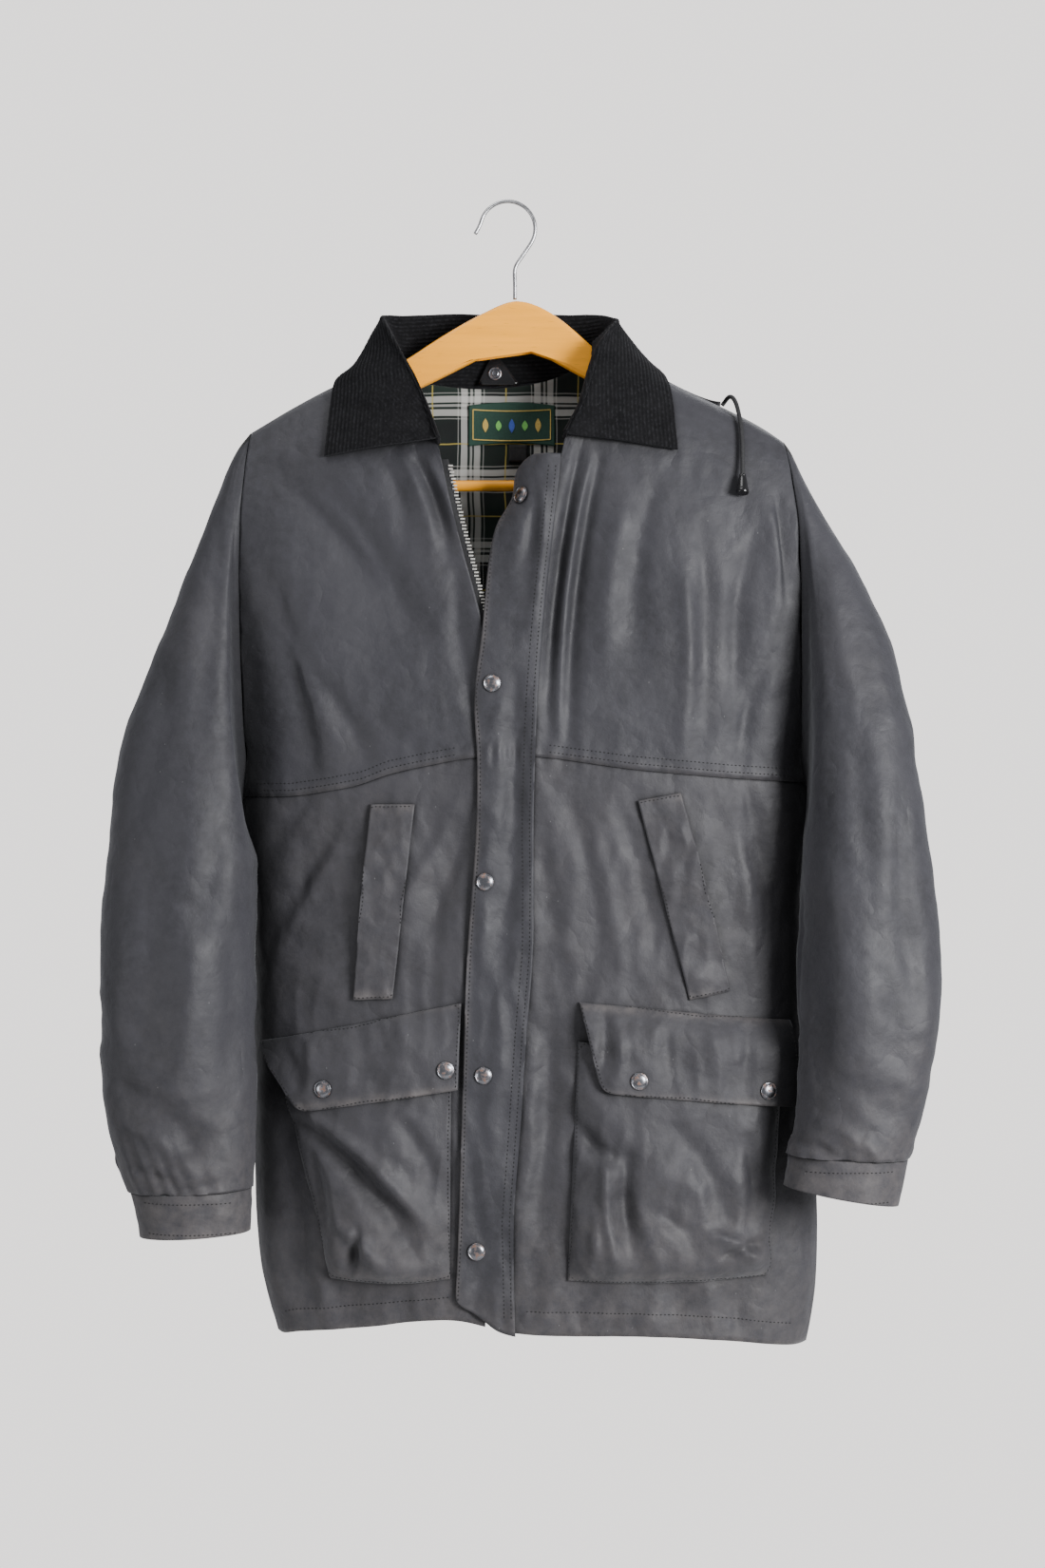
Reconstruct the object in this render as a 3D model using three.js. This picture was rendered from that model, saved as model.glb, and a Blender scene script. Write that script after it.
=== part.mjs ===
// Waxed cotton jacket hanging from a wooden coat hanger, in millimetres.
// +Z is up, the fronts face -Y, and the origin is the underside of the steel hook's crown,
// where a peg or a rail carries it. Left and right are those of someone looking at the fronts.
// Every cloth piece is a thin wall: its outer points come from the garment's own depth
// functions, and its inner points lie one cloth thickness further in.
import * as THREE from "three";

const CLOTH = 2.0; // waxed cotton with its lining
const SEAM_GAP = 0.3; // between pieces that are sewn together
const ARMHOLE_GAP = 0.65; // between the armhole edge and the sleeve head
const POCKET_CLOTH = 1.6;
const TAPE = 1.0; // zip tape, lining and label cloth
const COLLAR_CLOTH = 2.2;
const SHOULDER_ROUND_FRONT = 90; // how soon the front falls away below the shoulder seam
const SHOULDER_ROUND_BACK = 25;
const BODY_SQUARENESS = 2.4; // 2 would be an ellipse
const SNAP_RADIUS = 7.5;
const SNAP_HEIGHT = 2.6;

const PAINT = {
  waxed: { color: 0x2e2f33, roughness: 0.62 },
  waxedFaded: { color: 0x36363a, roughness: 0.66 },
  corduroy: { color: 0x0c0c0e, roughness: 0.95 },
  lining: { color: 0x16201c, roughness: 0.9 },
  label: { color: 0x0f3328, roughness: 0.8 },
  loop: { color: 0x08080a, roughness: 0.35 },
  beech: { color: 0xd99a52, roughness: 0.45 },
  steel: { color: 0x8d9196, roughness: 0.3, metalness: 1 },
  snap: { color: 0x8a857f, roughness: 0.38, metalness: 1 },
  zipTape: { color: 0x111113, roughness: 0.9 },
  cord: { color: 0x0d0d0f, roughness: 0.8 },
  cordEnd: { color: 0x060607, roughness: 0.25 },
};

const jacket = new THREE.Group();
jacket.name = "jacket_on_hanger";

const mix = (a, b, t) => a + (b - a) * t;
const clamp = (value, low, high) => Math.min(high, Math.max(low, value));
const point = (x, y, z) => new THREE.Vector3(x, y, z);
const steps = (count) => Array.from({ length: count + 1 }, (_, i) => i / count);
// Steps that crowd together towards 1, for a panel that turns round the side of the body.
const crowded = (t) => mix(t, Math.sin((t * Math.PI) / 2), 0.62);

// One column of a table, read smoothly at a value of its key column.
function read(table, key, column, at) {
  const rising = table[0][key] < table[table.length - 1][key] ? 1 : -1;
  const place = at * rising;
  const keyOf = (i) => table[i][key] * rising;
  const last = table.length - 1;
  if (place <= keyOf(0)) return table[0][column];
  if (place >= keyOf(last)) return table[last][column];
  let i = 0;
  while (place > keyOf(i + 1)) i += 1;
  const slope = (j) => {
    const before = Math.max(j - 1, 0);
    const after = Math.min(j + 1, last);
    return (table[after][column] - table[before][column]) / (keyOf(after) - keyOf(before));
  };
  const span = keyOf(i + 1) - keyOf(i);
  const t = (place - keyOf(i)) / span;
  const [t2, t3] = [t * t, t * t * t];
  return (
    (2 * t3 - 3 * t2 + 1) * table[i][column] +
    (t3 - 2 * t2 + t) * span * slope(i) +
    (3 * t2 - 2 * t3) * table[i + 1][column] +
    (t3 - t2) * span * slope(i + 1)
  );
}

// A table whose rows are evenly spaced along a curve gets its place as a column.
const spaced = (rows) => rows.map((row, i) => ({ ...row, s: i / (rows.length - 1) }));

// How wide and how deep the body is at each height. Above the armholes, left and right are
// where its round section would close if the armholes didn't cut it off.
const BODY = [
  { z: -80, left: -326, right: 334, front: 62, back: 28, side: 0 },
  { z: -250, left: -314, right: 330, front: 62, back: 29, side: 0 },
  { z: -380, left: -290, right: 310, front: 64, back: 30, side: 1 },
  { z: -460, left: -254, right: 277, front: 66, back: 31, side: 3 },
  { z: -520, left: -228, right: 257.5, front: 67, back: 32, side: 4 },
  { z: -700, left: -223, right: 264, front: 70, back: 34, side: 5 },
  { z: -880, left: -221, right: 271, front: 72, back: 37, side: 5 },
  { z: -935, left: -216.5, right: 271, front: 71, back: 38, side: 5 },
  { z: -965, left: -210.6, right: 268, front: 70, back: 38, side: 5 },
  { z: -1005, left: -199, right: 259, front: 69, back: 38, side: 5 },
];
const SHOULDER_LINE = [
  { x: -226, z: -203 },
  { x: -219, z: -198.8 },
  { x: -193.5, z: -183.4 },
  { x: -155, z: -162.8 },
  { x: -94, z: -136 },
  { x: -50, z: -116 },
  { x: 5, z: -96 },
  { x: 40, z: -108 },
  { x: 76, z: -124 },
  { x: 148, z: -161.3 },
  { x: 203, z: -187 },
  { x: 236.5, z: -205.3 },
  { x: 243, z: -211 },
];
const ARMHOLE_LEFT = [
  { z: -203, x: -226 },
  { z: -260, x: -231.5 },
  { z: -330, x: -233.5 },
  { z: -400, x: -233 },
  { z: -460, x: -231 },
  { z: -522, x: -227.5 },
];
const ARMHOLE_RIGHT = [
  { z: -211, x: 243 },
  { z: -255, x: 250.5 },
  { z: -310, x: 255 },
  { z: -400, x: 256.5 },
  { z: -460, x: 257 },
  { z: -510, x: 257.5 },
];
// Where the two fronts end at the middle, below the neckline.
const FRONT_EDGES = [
  { z: -219, left: -60, right: 49 },
  { z: -271, left: -49, right: 36 },
  { z: -313, left: -38.5, right: 29 },
  { z: -365, left: -24, right: 22 },
  { z: -427, left: -11.6, right: 13 },
  { z: -493, left: -6, right: 7.5 },
  { z: -657, left: -7.5, right: 6 },
  { z: -822, left: -13, right: 0.5 },
  { z: -990, left: -19, right: -5.5 },
];
const HEM = [
  { x: -228, z: -993 },
  { x: -199, z: -996 },
  { x: -184, z: -991 },
  { x: -131, z: -984 },
  { x: -49, z: -975 },
  { x: 7, z: -987 },
  { x: 115, z: -989.5 },
  { x: 181, z: -994 },
  { x: 258, z: -1006 },
];
const YOKE_SEAM = [
  { x: -227.5, z: -522 },
  { x: -188.5, z: -522 },
  { x: -156, z: -517.5 },
  { x: -126, z: -512 },
  { x: -104, z: -503 },
  { x: -71, z: -496 },
  { x: -29.5, z: -488.5 },
  { x: 25, z: -487.5 },
  { x: 106.5, z: -498.5 },
  { x: 192, z: -506 },
  { x: 257.5, z: -510 },
];
const NECK_FRONT_LEFT = spaced([
  { x: -60, z: -221 },
  { x: -73, z: -197 },
  { x: -83, z: -174 },
  { x: -90, z: -153 },
  { x: -94, z: -136 },
]);
const NECK_BACK = spaced([
  { x: -94, z: -136 },
  { x: -88, z: -153 },
  { x: -72, z: -163 },
  { x: -40, z: -163 },
  { x: 0, z: -159 },
  { x: 36, z: -155 },
  { x: 58, z: -153 },
  { x: 71, z: -146 },
  { x: 76, z: -124 },
]);
const NECK_FRONT_RIGHT = spaced([
  { x: 49, z: -215 },
  { x: 58, z: -197 },
  { x: 66, z: -176 },
  { x: 72, z: -152 },
  { x: 76, z: -124 },
]);

// Large folds of the fronts, the back and the sleeves. Each runs straight between two points
// of the front view; a positive rise stands proud and a negative one is a trough.
const FRONT_FOLDS = [
  { x1: -236, z1: -300, x2: -226, z2: -522, wide: 22, rise: -16 },
  { x1: -215, z1: -238, x2: -60, z2: -390, wide: 28, rise: -7 },
  { x1: -190, z1: -300, x2: -150, z2: -480, wide: 32, rise: 5 },
  { x1: -45, z1: -515, x2: -72, z2: -680, wide: 20, rise: -6 },
  { x1: -150, z1: -560, x2: -205, z2: -680, wide: 20, rise: -4 },
  { x1: 78, z1: -225, x2: 44, z2: -440, wide: 19, rise: -8 },
  { x1: 202, z1: -255, x2: 196, z2: -480, wide: 21, rise: -6 },
  { x1: 150, z1: -250, x2: 160, z2: -470, wide: 26, rise: 5 },
  { x1: 256, z1: -330, x2: 256, z2: -500, wide: 20, rise: -12 },
  { x1: 70, z1: -560, x2: 95, z2: -690, wide: 20, rise: -4 },
  { x1: 205, z1: -520, x2: 226, z2: -680, wide: 20, rise: -4 },
  { x1: 34, z1: -690, x2: 22, z2: -960, wide: 20, rise: -5 },
];
const BACK_FOLDS = [
  { x1: -170, z1: -230, x2: -60, z2: -430, wide: 26, rise: -6 },
  { x1: 185, z1: -240, x2: 90, z2: -440, wide: 26, rise: -6 },
  { x1: -120, z1: -560, x2: -150, z2: -960, wide: 26, rise: 7 },
  { x1: -40, z1: -600, x2: -60, z2: -980, wide: 22, rise: -6 },
  { x1: 60, z1: -560, x2: 50, z2: -980, wide: 28, rise: 7 },
  { x1: 150, z1: -620, x2: 175, z2: -980, wide: 22, rise: -7 },
  { x1: -200, z1: -540, x2: -165, z2: -760, wide: 18, rise: -6 },
  { x1: 225, z1: -540, x2: 205, z2: -780, wide: 18, rise: -6 },
];
const SLEEVE_FOLDS = [
  { x1: -262, z1: -262, x2: -272, z2: -470, wide: 9, rise: -5 },
  { x1: -300, z1: -560, x2: -285, z2: -760, wide: 18, rise: -5 },
  { x1: -245, z1: -640, x2: -270, z2: -800, wide: 16, rise: 4 },
  { x1: -330, z1: -760, x2: -250, z2: -850, wide: 13, rise: -5 },
  { x1: 290, z1: -330, x2: 300, z2: -480, wide: 14, rise: -4 },
  { x1: 345, z1: -560, x2: 350, z2: -730, wide: 12, rise: -5 },
  { x1: 300, z1: -620, x2: 292, z2: -780, wide: 20, rise: 4 },
  { x1: 275, z1: -770, x2: 300, z2: -840, wide: 14, rise: -5 },
];

// How far the folds move a point of the surface outwards.
function foldRise(folds, x, z) {
  let rise = 0;
  for (const fold of folds) {
    const [runX, runZ] = [fold.x2 - fold.x1, fold.z2 - fold.z1];
    const along = ((x - fold.x1) * runX + (z - fold.z1) * runZ) / (runX * runX + runZ * runZ);
    const near = clamp(along, 0, 1);
    const [dx, dz] = [x - fold.x1 - near * runX, z - fold.z1 - near * runZ];
    const across = (dx * dx + dz * dz) / (fold.wide * fold.wide);
    rise += fold.rise * Math.exp(-across) * (0.35 + 0.65 * Math.sin(Math.PI * near));
  }
  return rise;
}

const shoulderZ = (x) => read(SHOULDER_LINE, "x", "z", x);
const yokeZ = (x) => read(YOKE_SEAM, "x", "z", x);
const hemZ = (x) => read(HEM, "x", "z", x);

// The share of the body's full depth that the surface has at a point of the front view.
function roundness(x, z, softness) {
  const [left, right] = [read(BODY, "z", "left", z), read(BODY, "z", "right", z)];
  const across = clamp(Math.abs((2 * x - left - right) / (right - left)), 0, 1);
  const girth = (1 - across ** BODY_SQUARENESS) ** (1 / BODY_SQUARENESS);
  const below = Math.max(shoulderZ(x) - z, 0);
  return girth * Math.sqrt(1 - Math.exp(-below / softness));
}

function frontY(x, z) {
  const share = roundness(x, z, SHOULDER_ROUND_FRONT);
  const flat = read(BODY, "z", "side", z) - SEAM_GAP / 2 - read(BODY, "z", "front", z) * share;
  return flat - foldRise(FRONT_FOLDS, x, z) * share;
}

function backY(x, z) {
  const share = roundness(x, z, SHOULDER_ROUND_BACK);
  const flat = read(BODY, "z", "side", z) + SEAM_GAP / 2 + read(BODY, "z", "back", z) * share;
  return flat + foldRise(BACK_FOLDS, x, z) * share;
}

// The back without its folds, for the lining and the hood that hang beside it.
function smoothBackY(x, z) {
  const share = roundness(x, z, SHOULDER_ROUND_BACK);
  return read(BODY, "z", "side", z) + read(BODY, "z", "back", z) * share;
}

// Which way a surface given as a depth over the front view faces. side is -1 on the fronts.
function facing(depthOf, side, x, z) {
  const reach = 1.5;
  const slopeX = (depthOf(x + reach, z) - depthOf(x - reach, z)) / (2 * reach);
  const slopeZ = (depthOf(x, z + reach) - depthOf(x, z - reach)) / (2 * reach);
  return point(-slopeX * side, side, -slopeZ * side).normalize();
}

// A sample of any surface: its point, and its direction from two steps along it.
function surfaceSample(place, u, v, turn, reachU = 0.01, reachV = 0.01) {
  const alongU = place(u + reachU, v).sub(place(u - reachU, v));
  const alongV = place(u, v + reachV).sub(place(u, v - reachV));
  return { at: place(u, v), out: alongU.cross(alongV).normalize().multiplyScalar(turn) };
}

// A closed solid from two grids of points, the outer and the inner face of a wall.
// closed joins the last column to the first, as on a sleeve.
function wallGeometry(outer, inner, closed = false) {
  const [rows, columns] = [outer.length, outer[0].length];
  const positions = [...outer.flat(), ...inner.flat()].flatMap((p) => [p.x, p.y, p.z]);
  const at = (face, row, column) => face * rows * columns + row * columns + (column % columns);
  const index = [];
  const quad = (a, b, c, d) => index.push(a, b, c, a, c, d);
  const spans = closed ? columns : columns - 1;
  for (let i = 0; i < rows - 1; i += 1)
    for (let j = 0; j < spans; j += 1) {
      quad(at(0, i, j), at(0, i, j + 1), at(0, i + 1, j + 1), at(0, i + 1, j));
      quad(at(1, i, j), at(1, i + 1, j), at(1, i + 1, j + 1), at(1, i, j + 1));
    }
  for (let j = 0; j < spans; j += 1) {
    quad(at(0, 0, j), at(1, 0, j), at(1, 0, j + 1), at(0, 0, j + 1));
    const end = rows - 1;
    quad(at(0, end, j), at(0, end, j + 1), at(1, end, j + 1), at(1, end, j));
  }
  if (!closed)
    for (let i = 0; i < rows - 1; i += 1) {
      const end = columns - 1;
      quad(at(0, i, 0), at(0, i + 1, 0), at(1, i + 1, 0), at(1, i, 0));
      quad(at(0, i, end), at(1, i, end), at(1, i + 1, end), at(0, i + 1, end));
    }
  return outwards(positions, index);
}

// Turns every face round if the solid would be inside out.
function outwards(positions, index) {
  let volume = 0;
  const corner = (i) => point(...positions.slice(3 * i, 3 * i + 3));
  for (let i = 0; i < index.length; i += 3) {
    const [a, b, c] = [corner(index[i]), corner(index[i + 1]), corner(index[i + 2])];
    volume += a.dot(b.cross(c));
  }
  if (volume < 0)
    for (let i = 0; i < index.length; i += 3)
      [index[i + 1], index[i + 2]] = [index[i + 2], index[i + 1]];
  const geometry = new THREE.BufferGeometry();
  geometry.setAttribute("position", new THREE.Float32BufferAttribute(positions, 3));
  geometry.setIndex(index);
  geometry.computeVertexNormals();
  return geometry;
}

function addPiece(name, geometry, paint) {
  const piece = new THREE.Mesh(geometry, new THREE.MeshStandardMaterial(PAINT[paint]));
  piece.name = name;
  jacket.add(piece);
  return piece;
}

// A wall from a grid of {at, out} samples: a point of its outer face and its direction.
function addWall(name, samples, thickness, paint, closed = false) {
  const outer = samples.map((row) => row.map((sample) => sample.at));
  const inner = samples.map((row) =>
    row.map((sample) => sample.at.clone().addScaledVector(sample.out, -thickness)),
  );
  return addPiece(name, wallGeometry(outer, inner, closed), paint);
}

// A sample of the front or back cloth, moved out by lift.
function clothSample(depthOf, side, x, z, lift = 0) {
  const out = facing(depthOf, side, x, z);
  const at = point(x, depthOf(x, z), z).addScaledVector(out, lift);
  return { at, out };
}

// The same, with its wall kept inside the seam that it ends at.
function seamSample(depthOf, side, x, z, seam) {
  const sample = clothSample(depthOf, side, x, z);
  if (seam === "side") sample.out.set(Math.sign(x), 0, 0);
  if (seam === "armhole") sample.out.setX(0).normalize();
  if (seam === "shoulder") {
    const reach = 3;
    const slope = (shoulderZ(x + reach) - shoulderZ(x - reach)) / (2 * reach);
    sample.out.set(-slope, 0, 1).normalize();
    sample.at.y = (side * SEAM_GAP) / 2;
  }
  return sample;
}

// A four-sided patch of the front view from its four edge curves, each run from 0 to 1.
function patchPoint(edges, u, v) {
  const [low, high, near, far] = [edges.low(u), edges.high(u), edges.near(v), edges.far(v)];
  const corners = [edges.low(0), edges.low(1), edges.high(0), edges.high(1)];
  const blend = (k) =>
    mix(low[k], high[k], v) +
    mix(near[k], far[k], u) -
    mix(mix(corners[0][k], corners[1][k], u), mix(corners[2][k], corners[3][k], u), v);
  return { x: blend("x"), z: blend("z") };
}

// Rows that crowd together towards the shoulder, where the cloth bends over the hanger.
const towardsShoulder = (rows) => [...steps(rows - 3).map((t) => 0.9 * t), 0.955, 0.985, 1];

// Sides of the body for a piece on the left or on the right of the middle.
const SIDES = {
  left: { sign: -1, armhole: ARMHOLE_LEFT, neck: NECK_FRONT_LEFT, shoulderX: -226 },
  right: { sign: 1, armhole: ARMHOLE_RIGHT, neck: NECK_FRONT_RIGHT, shoulderX: 243 },
};
for (const side of Object.values(SIDES)) {
  side.armTop = side.armhole[0].z;
  side.armBottom = side.armhole[side.armhole.length - 1].z;
  side.armX = (z) => read(side.armhole, "z", "x", z);
}
const YOKE_LEVEL = -505;
const sideX = (name, z) =>
  z > SIDES[name].armBottom ? SIDES[name].armX(z) : read(BODY, "z", name, z);

// The lower front: from the hem to the yoke seam, and from the middle to the side seam.
const LOWER_FRONT = { columns: 14, rows: 13 };
function lowerFront(name) {
  return steps(LOWER_FRONT.rows).map((v) =>
    steps(LOWER_FRONT.columns).map((step) => {
      const level = mix(-992, YOKE_LEVEL, v);
      const far = v === 1 ? SIDES[name].armX(SIDES[name].armBottom) : read(BODY, "z", name, level);
      const x = mix(read(FRONT_EDGES, "z", name, level), far, crowded(step));
      const z = mix(hemZ(x), yokeZ(x) - SEAM_GAP / 2, v);
      return seamSample(frontY, -1, x, z, step === 1 ? "side" : "");
    }),
  );
}

// The upper front: from the yoke seam to the neckline and shoulder, and out to the armhole.
const UPPER_FRONT = { columns: 14, rows: 13, neckShare: 0.26 };
function upperFront(name) {
  const { neck, armX, armTop, armBottom, shoulderX } = SIDES[name];
  const share = UPPER_FRONT.neckShare;
  const neckPoint = neck[neck.length - 1];
  const edges = {
    low: (u) => {
      const x = mix(read(FRONT_EDGES, "z", name, YOKE_LEVEL), armX(armBottom), crowded(u));
      return { x, z: yokeZ(x) + SEAM_GAP / 2 };
    },
    high: (u) => {
      if (u < share) return { x: read(neck, "s", "x", u / share), z: read(neck, "s", "z", u / share) };
      const x = mix(neckPoint.x, shoulderX, (u - share) / (1 - share));
      return { x, z: shoulderZ(x) };
    },
    near: (v) => {
      const z = mix(YOKE_LEVEL + 17, neck[0].z, v);
      return { x: read(FRONT_EDGES, "z", name, z), z };
    },
    far: (v) => {
      const z = mix(armBottom + SEAM_GAP / 2, armTop, v);
      return { x: armX(z), z };
    },
  };
  edges.near = alignStart(edges.near, edges.low(0));
  return towardsShoulder(UPPER_FRONT.rows).map((v) =>
    steps(UPPER_FRONT.columns).map((u) => {
      const { x, z } = patchPoint(edges, u, v);
      let seam = "";
      if (u === 1) seam = v === 0 ? "side" : "armhole";
      if (v === 1 && u >= share) seam = "shoulder";
      return seamSample(frontY, -1, x, z, seam);
    }),
  );
}

// Moves the start of a curve onto a point, fading out along it.
function alignStart(curve, start) {
  const first = curve(0);
  return (v) => {
    const place = curve(v);
    return {
      x: place.x + (start.x - first.x) * (1 - v),
      z: place.z + (start.z - first.z) * (1 - v),
    };
  };
}

// The back, in one piece from hem to neck.
const BACK = { columns: 24, lowerRows: 12, upperRows: 11, neckStart: 0.29, neckEnd: 0.69 };
function crowdedBothWays(u) {
  return u < 0.5 ? 0.5 - crowded(1 - 2 * u) / 2 : 0.5 + crowded(2 * u - 1) / 2;
}
function backHighEdge(u) {
  const { neckStart, neckEnd } = BACK;
  if (u > neckStart && u < neckEnd) {
    const s = (u - neckStart) / (neckEnd - neckStart);
    return { x: read(NECK_BACK, "s", "x", s), z: read(NECK_BACK, "s", "z", s) };
  }
  const last = NECK_BACK[NECK_BACK.length - 1];
  const x =
    u <= neckStart
      ? mix(SIDES.left.shoulderX, NECK_BACK[0].x, u / neckStart)
      : mix(last.x, SIDES.right.shoulderX, (u - neckEnd) / (1 - neckEnd));
  return { x, z: shoulderZ(x) };
}
function backPanel() {
  const lower = steps(BACK.lowerRows).map((v) =>
    steps(BACK.columns).map((u) => {
      const level = mix(-998, -516, v);
      const x = mix(sideX("left", level), sideX("right", level), crowdedBothWays(u));
      const z = mix(hemZ(x), yokeZ(x), v);
      return seamSample(backY, 1, x, z, u === 0 || u === 1 ? "side" : "");
    }),
  );
  const start = lower[lower.length - 1];
  const armhole = (name) => (v) => {
    const { armX, armTop, armBottom } = SIDES[name];
    const z = mix(armBottom, armTop, v);
    return { x: armX(z), z };
  };
  const edges = {
    low: (u) => start[Math.round(u * BACK.columns)].at,
    high: backHighEdge,
    near: alignStart(armhole("left"), start[0].at),
    far: alignStart(armhole("right"), start[BACK.columns].at),
  };
  const upper = towardsShoulder(BACK.upperRows)
    .slice(1)
    .map((v) =>
      steps(BACK.columns).map((u) => {
        const { x, z } = patchPoint(edges, u, v);
        let seam = u === 0 || u === 1 ? "armhole" : "";
        if (v === 1 && (u <= BACK.neckStart || u >= BACK.neckEnd)) seam = "shoulder";
        return seamSample(backY, 1, x, z, seam);
      }),
    );
  return [...lower, ...upper];
}

// Sleeves hang from the armholes. Each row gives the outer and inner end of one section in
// the front view, the middle and half of its depth, and how far its front leans inwards.
const SLEEVES = {
  left: [
    { s: 1, outX: -243, outZ: -228, inX: -231, inZ: -529, midY: -9, halfY: 36, lean: 1 },
    { s: 2, outX: -263, outZ: -285, inX: -231, inZ: -540, midY: -15, halfY: 43, lean: 8 },
    { s: 3, outX: -282.5, outZ: -338, inX: -226, inZ: -556, midY: -21, halfY: 49, lean: 14 },
    { s: 4, outX: -306.5, outZ: -397, inX: -223.5, inZ: -577, midY: -28, halfY: 54, lean: 20 },
    { s: 5, outX: -328, outZ: -455, inX: -221.5, inZ: -604, midY: -35, halfY: 57, lean: 20 },
    { s: 6, outX: -340.5, outZ: -514, inX: -220, inZ: -637, midY: -41, halfY: 59, lean: 14 },
    { s: 7, outX: -346.5, outZ: -579, inX: -219.5, inZ: -673, midY: -47, halfY: 60, lean: 8 },
    { s: 8, outX: -349, outZ: -649, inX: -219, inZ: -715, midY: -52, halfY: 58, lean: 3 },
    { s: 9, outX: -350, outZ: -722, inX: -218.7, inZ: -759, midY: -56, halfY: 55, lean: 0 },
    { s: 10, outX: -347.5, outZ: -774, inX: -218.7, inZ: -801, midY: -60, halfY: 50, lean: 0 },
    { s: 11, outX: -337, outZ: -825, inX: -218.7, inZ: -831, midY: -64, halfY: 46, lean: 0 },
    { s: 12, outX: -324.5, outZ: -863, inX: -219.3, inZ: -859, midY: -66, halfY: 43, lean: 0 },
    { s: 13, outX: -317, outZ: -901, inX: -220.3, inZ: -896, midY: -68, halfY: 40, lean: 0 },
  ],
  right: [
    { s: 1, outX: 253.7, outZ: -231, inX: 260, inZ: -517, midY: -9, halfY: 36, lean: -2 },
    { s: 2, outX: 275, outZ: -276, inX: 261.5, inZ: -529, midY: -15, halfY: 43, lean: 2 },
    { s: 3, outX: 294.5, outZ: -309, inX: 260, inZ: -543, midY: -22, halfY: 49, lean: 8 },
    { s: 4, outX: 318.5, outZ: -357, inX: 259.5, inZ: -567, midY: -30, halfY: 54, lean: 12 },
    { s: 5, outX: 341, outZ: -412, inX: 258, inZ: -593, midY: -38, halfY: 56, lean: 12 },
    { s: 6, outX: 350, outZ: -464, inX: 255.5, inZ: -627, midY: -46, halfY: 57, lean: 8 },
    { s: 7, outX: 357, outZ: -530, inX: 253, inZ: -670, midY: -54, halfY: 57, lean: 4 },
    { s: 8, outX: 366, outZ: -595, inX: 251, inZ: -717, midY: -61, halfY: 55, lean: 2 },
    { s: 9, outX: 373, outZ: -656, inX: 249.5, inZ: -763, midY: -67, halfY: 52, lean: 0 },
    { s: 10, outX: 371, outZ: -707, inX: 248, inZ: -802, midY: -72, halfY: 48, lean: 0 },
    { s: 11, outX: 360, outZ: -768, inX: 244, inZ: -820, midY: -76, halfY: 44, lean: 0 },
    { s: 12, outX: 344, outZ: -833, inX: 240.3, inZ: -829, midY: -78, halfY: 42, lean: 0 },
    { s: 13, outX: 335.5, outZ: -873, inX: 236, inZ: -855.5, midY: -80, halfY: 40, lean: 0 },
  ],
};
const SLEEVE = { round: 20, cuffAt: 12, headAt: 1, headSwell: 1.6, headPart: 0.5, headTurns: 2.6, headOut: 6 };
const SLEEVE_STEPS = [0, 0.5, 1, 1.8, 2.6, 3.4, 4.2, 5, 6, 7, 8, 9, 10, 10.8, 11.5, 12];
const CUFF_GATHERS = 9;
const CUFF_GATHER_RISE = 1.3;

// A point of the sleeve's section s. angle 0 is its outer end, a quarter turn is its front.
function sleevePoint(name, s, angle, gather) {
  const cell = (column) => read(SLEEVES[name], "s", column, s);
  const [outX, outZ, inX, inZ] = ["outX", "outZ", "inX", "inZ"].map(cell);
  const outer = (1 + Math.cos(angle)) / 2;
  const front = Math.sin(angle);
  const lean = SIDES[name].sign * cell("lean") * Math.max(front, 0) ** 2;
  const at = point(mix(inX, outX, outer) - lean, 0, mix(inZ, outZ, outer));
  const rise = foldRise(SLEEVE_FOLDS, at.x, at.z) * Math.abs(front);
  const swell = 1 + (rise + gather * Math.cos(CUFF_GATHERS * angle)) / cell("halfY");
  at.y = cell("midY") - cell("halfY") * front * swell;
  return at;
}
function sleeveSample(name, s, angle, gather = 0) {
  const place = (a, b) => sleevePoint(name, a, b, gather);
  return surfaceSample(place, s, angle, -SIDES[name].sign, 0.05, 0.05);
}

// The sleeve head follows the armhole's edge, a seam's gap away from it.
function sleeveHeadSample(name, angle, front) {
  const { sign, armX, armTop, armBottom } = SIDES[name];
  const z = mix(armTop, armBottom, (1 - Math.cos(angle)) / 2);
  const depthOf = front ? frontY : backY;
  const x = armX(z);
  const sample = clothSample(depthOf, front ? -1 : 1, x, z);
  const turn = Math.cos(angle);
  if (turn > 0.999) sample.out.set(0, 0, 1);
  else if (turn < -0.999) sample.out.set(0, front ? -0.6 : 0.6, -0.8);
  else sample.out.setX(0).normalize();
  sample.at.x += sign * ARMHOLE_GAP;
  return sample;
}
// Near the armhole the sleeve stays outside the edge it is sewn to.
function clearArmhole(name, at) {
  const { sign, armX } = SIDES[name];
  const least = Math.abs(armX(at.z)) + ARMHOLE_GAP + SLEEVE.headOut;
  at.x = sign * Math.max(Math.abs(at.x), least);
}
// A sleeve is cut as a front and a back, sewn along its outer and its inner end.
function sleeveWall(name, front) {
  const turns = steps(SLEEVE.round / 2).map((t) => (front ? t / 2 : (t + 1) / 2));
  return SLEEVE_STEPS.map((s) =>
    turns.map((turn) => {
      const angle = turn * 2 * Math.PI;
      const tube = sleeveSample(name, Math.max(s, SLEEVE.headAt), angle);
      tube.at.y += (front ? -SEAM_GAP : SEAM_GAP) / 2;
      if (s <= SLEEVE.headTurns) clearArmhole(name, tube.at);
      if (s >= SLEEVE.headAt) return tube;
      const head = sleeveHeadSample(name, angle, front);
      if (s === 0) return head;
      const share = s / SLEEVE.headAt;
      const at = head.at.lerp(tube.at, share);
      at.x += SIDES[name].sign * SLEEVE.headSwell * Math.sin(Math.PI * share);
      at.y += (front ? -1 : 1) * SLEEVE.headPart * Math.sin(Math.PI * share);
      return { at, out: head.out.lerp(tube.out, share).normalize() };
    }),
  );
}
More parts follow.
